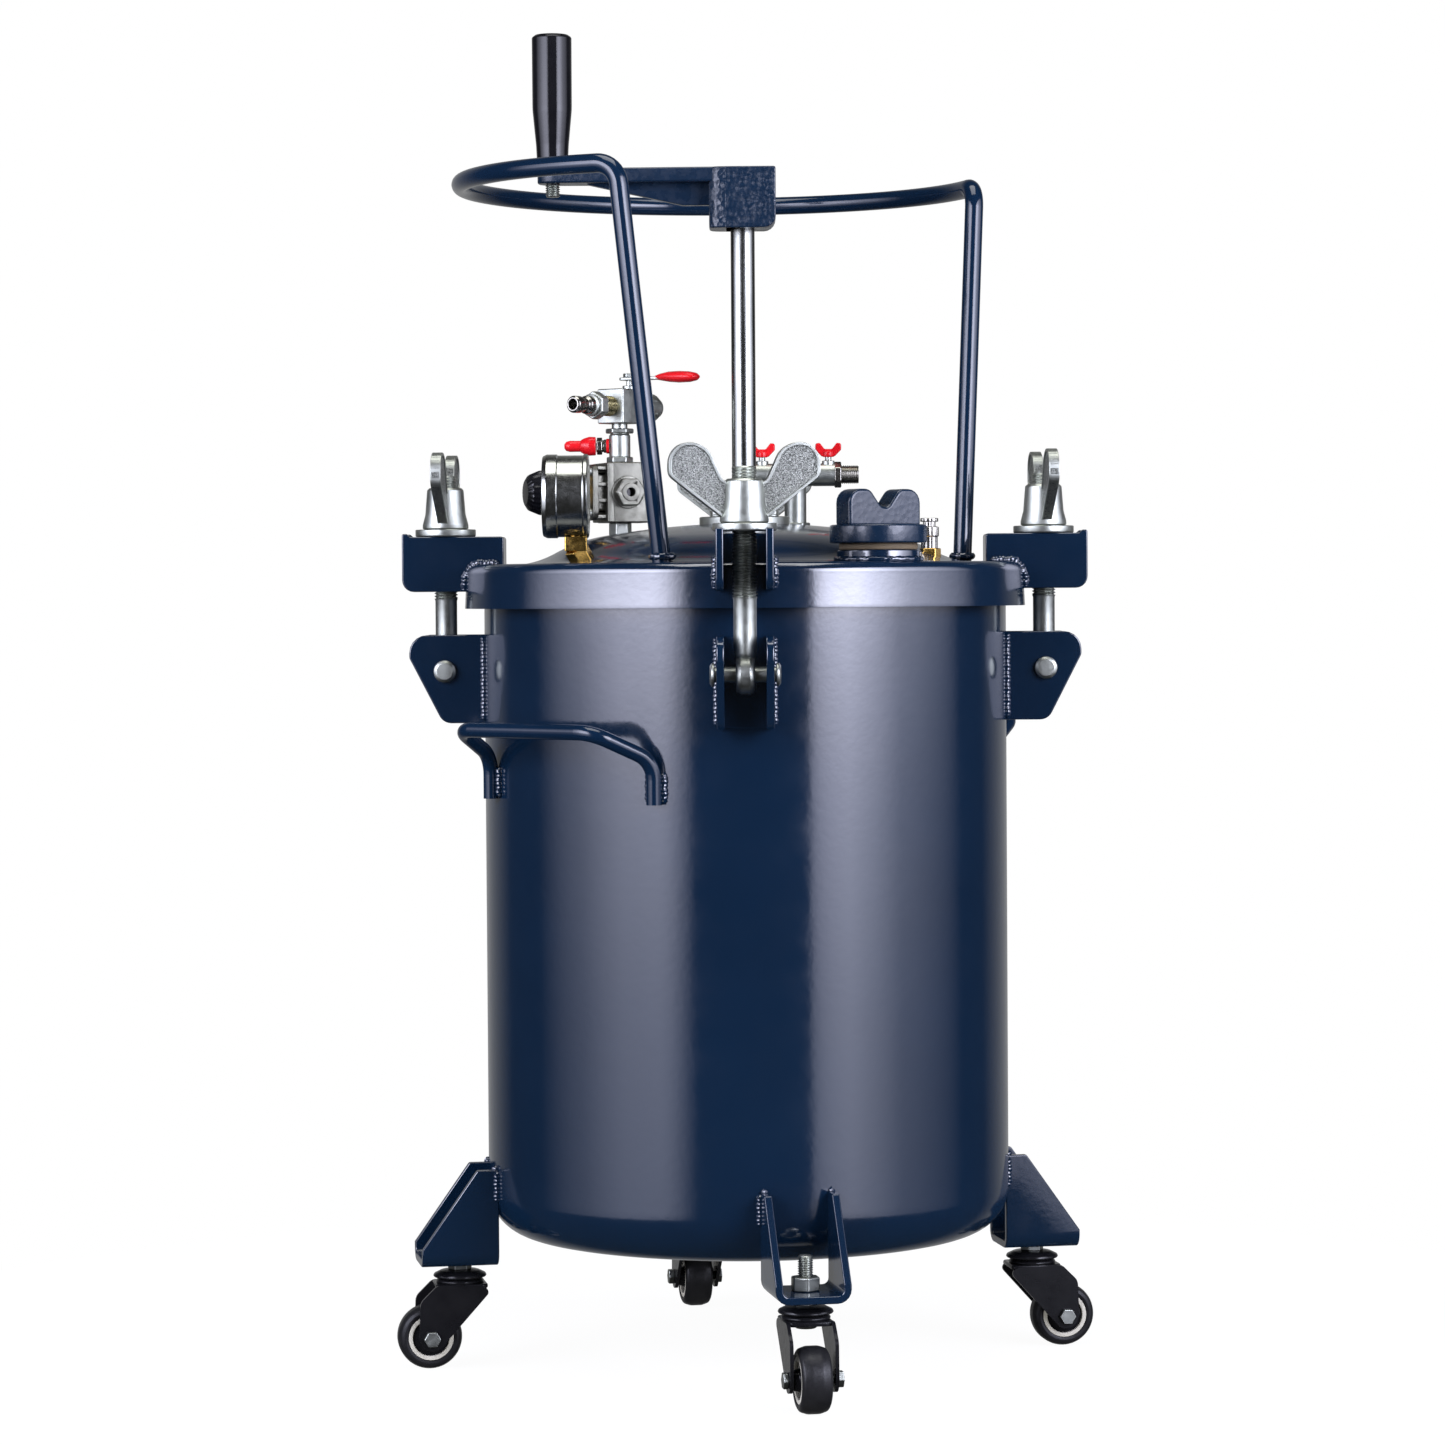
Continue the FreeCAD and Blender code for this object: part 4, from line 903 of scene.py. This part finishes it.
def gauge():
    """A bottom-entry gauge: chrome case and bezel, ticked and numbered dial, needle and lens."""
    back = span("gauge_case", 0)[1]
    centre = middle("gauge_case") / MM
    facing = at(back, centre.y, centre.z, LEFT)
    start, sweep, steps = 135.0, 270.0, 50
    case = lathe("case", [
        (0, 0.2), (26.4, 0.2, 0.8), (27.4, 1, 0.5), (27.4, 3.2, 0.6), (26.7, 3.9, 0.4), (26.7, 20.2),
        (27.4, 20.9, 0.4), (27.4, 27.5, 1.5), (26.0, 30.3, 1.2), (24.0, 30.3, 0.4), (24.0, 29.55),
        (25.45, 29.5), (25.45, 2.2), (0, 2.2)], "chrome", 96)
    settle("gauge_case", [place(case, facing)])
    dial = [lathe("dial", [(0, 22.05), (25.3, 22.05), (25.3, 23, 0.3), (0, 23)], "dial", 72),
            lathe("spindle", [(0.95, 23), (0.95, 25.4, 0.3), (0, 25.4)], "zinc", 24)]
    for step in range(steps + 1):
        long = step % 5 == 0
        reach, wide = (18.6, 0.28) if long else (20.2, 0.13)
        tick = prism("tick", mirrored([(reach, -wide), (22.4, -wide)]), 23, 23.1, "black", 0)
        dial.append(place(tick, about_axis(start - sweep * step / steps)))
    for number in range(0, 11, 2):
        angle = math.radians(start - sweep * number / 10)
        words = bpy.data.curves.new("number", "FONT")
        words.body = str(number)
        words.size = 4.2 * MM
        words.extrude = 0.05 * MM
        words.align_x, words.align_y = "CENTER", "CENTER"
        label = into_scene("number", words)
        select([label])
        bpy.ops.object.convert(target="MESH")
        label.data.materials.append(MATERIALS["black"])
        spot = at(14.6 * math.cos(angle), 14.6 * math.sin(angle), 23.05, turn=-90)
        dial.append(place(label, spot))
    settle("gauge_dial", placed(dial, facing))
    blade = prism("blade", [(-7.5, -1.7, 0.5), (-7.5, 1.7, 0.5), (0, 1.0), (19.6, 0.2), (19.6, -0.2),
                            (0, -1.0)], 23.7, 24.2, "black", 0.12)
    drill(blade, 1.05, 20, 30)
    boss = lathe("boss", [(1.05, 23.5), (2.7, 23.5, 0.3), (2.7, 24.8, 0.5), (1.05, 24.8)], "black", 32,
                 True)
    needle = placed((blade, boss), facing @ about_axis(start))
    settle("gauge_needle", needle, "gauge_needle")
    lens = lathe("lens", [(0, 27.6), (25.2, 27.6), (25.2, 28.9, 0.3), (12, 29.35, 20), (0, 29.45)],
                 "lens", 72)
    settle("gauge_lens", [place(lens, facing)])
    entry = -110.3
    block = prism("block", rectangle(7.3, 7.3, 0.8), centre.z - 36, centre.z - 26.2, "brass", 0.7)
    place(block, at(entry, centre.y))
    neck = lathe("neck", [(6, centre.z - 27), (6, centre.z - 24)], "brass", 32)
    place(neck, at(entry, centre.y))
    branch = place(hexagon("branch", 14.2, -1, 12, "brass"),
                   at(entry, centre.y, centre.z - 34.5, (0.45, 0.35, -0.82)))
    settle("gauge_elbow", [block, neck, branch])


# ---- regulator, inlet valve and quick plug ----

RISER = middle("regulator_riser") / MM
BODY_LOW, BODY_HIGH = span("regulator_body", 2)
REGULATOR_AXIS = (BODY_LOW + BODY_HIGH) / 2
REGULATOR_TURN, RISER_TURN, INLET_TURN = 17, 12, -125


def at_regulator(turn=0.0):
    return at(RISER.x, RISER.y, turn=turn)


def regulator():
    """A die-cast block with a ribbed bonnet, corner screws, a hex plug and a fluted knob."""
    height = REGULATOR_AXIS
    block = prism("block", mirrored([(-11, -20, 1), (20, -20, 2.5)]), BODY_LOW, BODY_HIGH, "die_cast",
                  1.0, 3)
    edge = prism("edge", mirrored([(-14.2, -20.3, 0.8), (-9.5, -20.3, 0.8)]), BODY_LOW + 0.3,
                 BODY_HIGH - 0.3, "die_cast", 0.7)
    bonnet = [prism("bonnet", rectangle(size, size, corner), low, high, "die_cast", 0.8)
              for size, corner, low, high in ((13.5, 3, 13, 20.5), (19, 6, 20.2, 24.2))]
    for offset in (-16.5, -5.5, 5.5, 16.5):
        rib = prism("rib", rectangle(1.3, 17.5, 0.5), 13.5, 20.5, "die_cast", 0.4)
        bonnet.append(place(rib, at(offset)))
    for across in (-14, 14):
        for up in (-14, 14):
            screw = lathe("screw", [(0, 24.1), (3, 24.1), (3, 26.4, 0.9), (0.9, 26.5), (0.9, 25.6),
                                    (0, 25.6)], "zinc", 24)
            bonnet.append(place(screw, at(up, across)))
    ring = lathe("ring", [(9, 24), (13.6, 24), (13.6, 26.6, 0.8), (12.4, 27.4, 0.6), (12, 29.6, 0.5),
                          (9, 29.6)], "brass", 56, True)
    pieces = [block, edge] + placed(bonnet + [ring], at(0, 0, height, LEFT))
    collar = lathe("collar", [(3.2, 19.5), (11.2, 19.5), (11.2, 21.2, 0.6), (3.2, 21.2)], "die_cast",
                   48, True)
    plug = drill(hexagon("plug", 18.4, 21, 28, "die_cast", 1.0), 3.2, 15, 40)
    lip = lathe("lip", [(3.2, 27.6), (6.2, 27.6), (6.2, 28.6, 0.4), (3.2, 28.6)], "die_cast", 40, True)
    # A black disc at the foot of the plug's bore: painted shade, standing in for the hole's depth.
    dark = rod("dark", 3.3, 20.8, 21.6, "black", 32)
    pieces += placed((collar, plug, lip, dark), at(0, 0, height, FRONT))
    seat = at_regulator(REGULATOR_TURN)
    settle("regulator_body", placed(pieces, seat))
    knob = lathe("knob", [(0, 29.9), (12.6, 29.9, 0.8), (15.1, 32.5, 1.5), (15.2, 57, 5), (12.2, 64.5, 4),
                          (8.6, 66.9, 1.5), (0, 66.9)], "black", 96, flutes=(24, 0.05))
    place(knob, seat @ at(0, 0, height, LEFT))
    settle("regulator_knob", [knob], "regulator_knob")
    nut = hexagon("nut", 14, BODY_LOW - 10, BODY_LOW, "zinc", 0.9)
    pipe = lathe("pipe", [(5, BODY_LOW - 17), (5, BODY_LOW - 9)], "zinc", 32)
    riser = placed((nut, pipe), at_regulator(RISER_TURN))
    settle("regulator_riser", riser)


def manifold():
    """The union above the regulator, with a small bleed cock on its left."""
    low, high = span("manifold_union", 2)
    bleed = 619.0
    pieces = [
        hexagon("low_nut", 16, low, low + 4, "zinc", 0.8),
        lathe("barrel", [(7, low + 3.5), (7.3, low + 4.5, 0.5), (7.3, low + 18.5, 0.5),
                         (6.4, low + 19.6, 0.4), (6.4, low + 20.5)], "zinc", 56),
        hexagon("high_nut", 17, low + 20, low + 23.4, "zinc", 0.9),
        lathe("neck", [(5.4, low + 23), (5.4, high)], "zinc", 40)]
    branch = [
        lathe("pipe", [(4.6, 4), (4.6, 10.6), (4.1, 11, 0.3), (4.1, 16)], "nickel", 40),
        lathe("band", [(4.6, 7.2), (5.1, 7.4, 0.2), (5.1, 9, 0.2), (4.6, 9.2)], "red", 40),
        hexagon("nut", 10.4, 12, 15.6, "nickel", 0.5)]
    pieces += placed(branch, at(0, 0, bleed, LEFT))
    settle("manifold_union", placed(pieces, at_regulator()))
    skirt = lathe("skirt", [(3, 16.4), (6.3, 16.4, 0.6), (6.5, 21, 1.2), (5.4, 24.5, 1.2), (4.2, 26.6, 0.6),
                            (3, 27)], "red", 48, True)
    lever = [[(4.2 * math.cos(turn) * wide * MM, 4.3 * math.sin(turn) * MM * tall, along_axis * MM)
              for turn in full_turn(24)]
             for along_axis, wide, tall in ((24, 1.0, 0.8), (27, 0.9, 0.8), (30, 0.9, 0.95),
                                            (34, 0.92, 1.0), (36.6, 0.75, 0.8), (37.9, 0.35, 0.4))]
    cap = placed((skirt, tube(lever, "lever", "red")), at_regulator() @ at(0, 0, bleed, LEFT))
    settle("bleed_cap", cap, "bleed_cap")


def inlet():
    """The inlet ball valve with its lever, and the quick-release plug screwed into it."""
    low = span("inlet_valve", 2)[0]
    height, stem_x = low + 12, -12
    seat = at_regulator(INLET_TURN)
    ahead, behind = at(0, 0, height, RIGHT), at(0, 0, height, LEFT)
    block = prism("block", rectangle(10.9, 10.9, 1.2), low + 0.1, low + 23.9, "zinc", 1.0, 3)
    tail = lathe("tail", [(9.8, 9), (9.8, 36, 1.2), (7, 38, 0.5), (7, 41.9, 0.6), (4.2, 41.9, 0.3),
                          (4.2, 34), (0, 34)], "zinc", 56)
    flats = hexagon("flats", 18, 22, 33, "zinc", 0.8)
    stem = [lathe("stem", [(0, height), (2.3, height), (2.3, height + 20.3, 0.5), (0, height + 20.3)],
                  "zinc", 28),
            lathe("packing", [(0, height + 9), (5, height + 9), (5, height + 14.5, 0.6), (0, height + 15)],
                  "zinc", 40),
            hexagon("nut", 8, height + 20.3, height + 23, "zinc", 0.4)]
    pieces = [block, place(tail, behind), place(flats, behind)]
    pieces += placed(stem, at(stem_x))
    settle("inlet_valve", placed(pieces, seat))
    plug = [
        thread("screw", 6.9, 1.35, 10.5, 23.2, "yellow_zinc", 48, 0.55),
        drill(hexagon("nut", 17, 23, 31, "zinc", 1.1), 3.7, 0, 40),
        lathe("nose", [(3.7, 12), (6.2, 12), (6.2, 38.4, 0.6), (4.6, 40, 0.5), (4.6, 44.3, 0.5),
                       (5.8, 46, 0.6), (5.8, 51.8, 0.8), (4.6, 53, 0.6), (3.7, 53, 0.3)],
              "nickel", 56, True),
        lathe("flange", [(6, 31), (7.6, 31, 0.5), (7.6, 33.4, 0.6), (6, 34)], "zinc", 48, True),
        # A black disc inside the nose's bore: painted shade deep in the hole.
        rod("dark", 3.8, 40, 41, "black", 32)]
    settle("inlet_plug", placed(plug, seat @ ahead))
    strap = prism("strap", [(-18, -6, 3), (-6, -6, 3), (-7.5, 30), (-16.5, 30)], height + 18.2,
                  height + 20.2, "zinc", 0.5)
    drill(strap, 2.35, height, height + 40, at(stem_x))
    sleeve = []
    for reach, wide, tall, lift in ((23, 4.2, 1.4, 0.2), (27, 5.2, 2.4, 0.5), (34, 6.6, 3.6, 0.5),
                                    (42, 7.0, 4.0, 0.2), (50, 6.6, 3.7, 0.0), (55, 5.2, 2.8, -0.1),
                                    (57, 3.2, 1.5, -0.1)):
        sleeve.append([((wide * math.cos(turn) + stem_x) * MM, reach * MM,
                        (height + 19.2 + lift + tall * math.sin(turn)) * MM)
                       for turn in full_turn(28)])
    lever = [strap, tube(sleeve, "sleeve", "red")]
    settle("inlet_lever", placed(lever, seat), "inlet_lever")


# ---- outlets, dip tube and safety valve ----

def outlets():
    """The tee on the dip tube, and its two small cocks with butterfly handles."""
    riser = middle("outlet_riser") / MM
    height = 599.6
    seat = at(riser.x, riser.y)
    tee = [
        hexagon("nut", 18, 555, 566.5, "zinc", 0.9),
        lathe("post", [(7.6, 548), (7.6, 592), (8, 594, 1), (8, 604.5, 3), (0, 607.5)], "zinc", 48),
        place(rod("run", 8, -12, 12, "zinc", 48, 0.8), at(0, 0, height, RIGHT))]
    settle("outlet_riser", placed(tee, seat))
    valves = []
    for side, way in (("right", 1), ("left", -1)):
        stem_x = way * 23.0
        along_run = at(0, 0, height, (way, 0, 0))
        run = [
            lathe("barrel", [(5, 11), (7.6, 11, 0.6), (7.9, 13, 0.8), (7.9, 29.5, 1), (6.6, 31, 0.5),
                             (5, 31)], "zinc", 48, True),
            hexagon("nut", 16, 27.2, 32, "nickel", 0.8),
            drill(thread("screw", 6.5, 1.34, 31, 44, "nickel", 44, 0.5), 4.5, 33, 60),
            # A black lining on the floor and wall of the screw's bore: painted shade inside the hole.
            lathe("painted_shade_lining", [(0, 33.2), (4.5, 33.2), (4.5, 44)], "black", 36)]
        stem = [rod("stem", 2.2, height, height + 12.2, "zinc", 24),
                lathe("boss", [(4.4, height + 6), (4.4, height + 9.6, 0.5), (2.2, height + 10)], "zinc",
                      32)]
        valves += placed(run, seat @ along_run)
        valves += placed(stem, seat @ at(stem_x))
        low = height + 12.3
        wings = prism("wings", [(-9, low + 9.6, 1.6), (-9, low + 5, 2), (-4.5, low + 0.4, 1.5),
                                (4.5, low + 0.4, 1.5), (9, low + 5, 2), (9, low + 9.6, 1.6),
                                (5.8, low + 9.8, 1.2), (2.6, low + 5.6, 1.5), (-2.6, low + 5.6, 1.5),
                                (-5.8, low + 9.8, 1.2)], -2.1, 2.1, "red", 0.9, 3)
        hub = lathe("hub", [(0, low), (3.9, low, 0.5), (3.9, low + 4, 1), (0, low + 4.6)], "red", 32)
        handle = placed((place(wings, UPRIGHT), hub), seat @ at(stem_x))
        settle("outlet_handle_" + side, handle, "outlet_handle_" + side)
    settle("outlet_valves", valves)
    low, high = span("dip_tube", 2)
    pipe = lathe("pipe", [(4.6, low, 0.3), (5.95, low, 0.3), (5.95, high), (4.6, high)], "steel", 40, True)
    settle("dip_tube", [place(pipe, seat)])


def safety_valve():
    spot = middle("safety_valve") / MM
    high = span("safety_valve", 2)[1]
    pieces = [
        hexagon("base", 13.6, LID_TOP, LID_TOP + 9, "brass", 0.8),
        lathe("body", [(5.6, LID_TOP + 8), (5.6, LID_TOP + 16.5, 0.5), (6.4, LID_TOP + 17.2, 0.4),
                       (6.4, LID_TOP + 23, 0.4), (4.2, LID_TOP + 23.6), (4.2, high - 2.6),
                       (6, high - 2.4, 0.4), (6, high, 0.6), (0, high)], "nickel", 40,
              flutes=(20, 0.04))]
    settle("safety_valve", placed(pieces, at(spot.x, spot.y)))


# ---- stage, lights and camera ----

# From here on, places and lengths are in metres.
POT_MIDDLE = 0.42


def floor():
    """A white disc that glows evenly, so that it meets the background without an edge."""
    paper = Finish("paper_floor").set(Roughness=1.0, Specular_IOR_Level=0.0,
                                      Emission_Color=(1, 1, 1, 1), Emission_Strength=0.96)
    paper.colours(paper.noise(2, 2), (0.05, 0.05, 0.05), (0.06, 0.06, 0.06))
    radius, steps = 0.7, 96
    mesh = bpy.data.meshes.new("floor")
    mesh.from_pydata(circle_path(Vector(), radius, steps), [], [tuple(range(steps))])
    mesh.materials.append(paper.material)
    disc = into_scene("floor", mesh)
    disc.visible_glossy = False


def faded(tree, coordinate, stops):
    """A strength that changes along a coordinate, from stops of (place, strength)."""
    ramp = add_node(tree, "ShaderNodeValToRGB", Fac=coordinate)
    elements = ramp.color_ramp.elements
    places, strengths = zip(*stops)
    elements[0].position, elements[1].position = places[0], places[-1]
    for spot in places[1:-1]:
        elements.new(spot)
    for element, strength in zip(elements, strengths):
        element.color = (strength,) * 3 + (1,)
    return ramp.outputs["Color"]


def softbox(name, azimuth, distance, size, height, power, tint=(1, 1, 1), across=None, upright=None):
    """A rectangular light that faces the pot's axis. across and upright are its strengths from its
    left to its right and from its foot to its head."""
    lamp = bpy.data.lights.new(name, "AREA")
    lamp.shape = "RECTANGLE"
    lamp.size, lamp.size_y = size
    lamp.energy = power
    lamp.color = tint
    lamp_object = into_scene(name, lamp)
    angle = math.radians(azimuth)
    lamp_object.location = (distance * math.sin(angle), -distance * math.cos(angle), height)
    towards = Vector((0, 0, height if across else POT_MIDDLE)) - lamp_object.location
    lamp_object.rotation_euler = towards.to_track_quat("-Z", "Y").to_euler()
    if across:
        lamp.use_nodes = True
        tree = lamp.node_tree
        geometry = add_node(tree, "ShaderNodeNewGeometry")
        split = add_node(tree, "ShaderNodeSeparateXYZ", Vector=geometry.outputs["Parametric"])
        product = add_node(tree, "ShaderNodeMix")
        product.data_type = "RGBA"
        product.blend_type = "MULTIPLY"
        feed(tree, product, Factor=1.0)
        tree.links.new(faded(tree, split.outputs["X"], across), product.inputs[6])
        tree.links.new(faded(tree, split.outputs["Y"], upright), product.inputs[7])
        feed(tree, tree.nodes["Emission"], Color=product.outputs[2])


def surroundings():
    """Light grey behind the pot, dark in front of it, and plain white to the camera."""
    world = bpy.data.worlds.new("studio")
    bpy.context.scene.world = world
    world.use_nodes = True
    tree = world.node_tree
    tree.nodes.clear()
    direction = add_node(tree, "ShaderNodeTexCoord").outputs["Generated"]
    split = add_node(tree, "ShaderNodeSeparateXYZ", Vector=direction)
    spread = add_node(tree, "ShaderNodeMapRange", Value=split.outputs["Y"], From_Min=0.6, From_Max=1.0,
                      To_Min=0.03, To_Max=0.5)
    lit = add_node(tree, "ShaderNodeBackground", Strength=spread.outputs["Result"])
    seen = add_node(tree, "ShaderNodeBackground", Color=(1, 1, 1, 1), Strength=1.0)
    rays = add_node(tree, "ShaderNodeLightPath")
    mix = add_node(tree, "ShaderNodeMixShader", Fac=rays.outputs["Is Camera Ray"])
    tree.links.new(lit.outputs["Background"], mix.inputs[1])
    tree.links.new(seen.outputs["Background"], mix.inputs[2])
    add_node(tree, "ShaderNodeOutputWorld", Surface=mix.outputs["Shader"])


def lights():
    """Two large softboxes, both brightest near their inner edges, with a soft edge on the left and
    a hard one on the right, and a weak lamp overhead."""
    surroundings()
    tint = (0.91, 0.93, 1.14)
    soft_edge = [(0.0, 0.0), (0.09, 0.47), (0.16, 0.85), (0.22, 1.0), (0.42, 0.86), (0.64, 0.38),
                 (0.88, 0.09), (1.0, 0.0)]
    hard_edge = [(0.0, 0.35), (0.03, 0.58), (0.07, 0.74), (0.16, 0.92), (0.25, 1.0), (0.39, 0.68),
                 (0.52, 0.35), (0.70, 0.20), (0.85, 0.10), (1.0, 0.0)]
    rise = [(0.0, 0.06), (0.18, 0.10), (0.30, 0.16), (0.40, 0.28), (0.50, 0.65), (0.56, 0.80), (1.0, 0.5)]
    facing_left = [(1 - spot, strength) for spot, strength in reversed(soft_edge)]
    softbox("softbox_left", -60, 1.7, (2.7, 1.9), 0.70, 260, tint, facing_left, rise)
    softbox("softbox_right", 65, 1.7, (2.7, 1.9), 0.70, 345, tint, hard_edge, rise)
    softbox("overhead", 0, 0.25, (1.2, 1.2), 2.3, 20)


def camera():
    eye = bpy.data.cameras.new("camera")
    eye.sensor_width = 36.0
    eye.lens = 110.5
    eye.clip_end = 50
    eye_object = into_scene("camera", eye)
    down, left, roll = math.radians(1.71), math.radians(0.30), math.radians(-0.38)
    turn = Matrix.Rotation(left, 4, "Z") @ Matrix.Rotation(math.pi / 2 - down, 4, "X")
    eye_object.matrix_world = (Matrix.Translation((0, -3.0, 0.52)) @ turn
                               @ Matrix.Rotation(roll, 4, "Z"))
    bpy.context.scene.camera = eye_object


finish_nodes()
for build in (pot, lid, filler, clamps, casters, welds, stirrer, gland, crank, gauge, regulator,
              manifold, inlet, outlets, safety_valve, floor, lights, camera):
    build()
bpy.context.scene.view_settings.view_transform = "Standard"
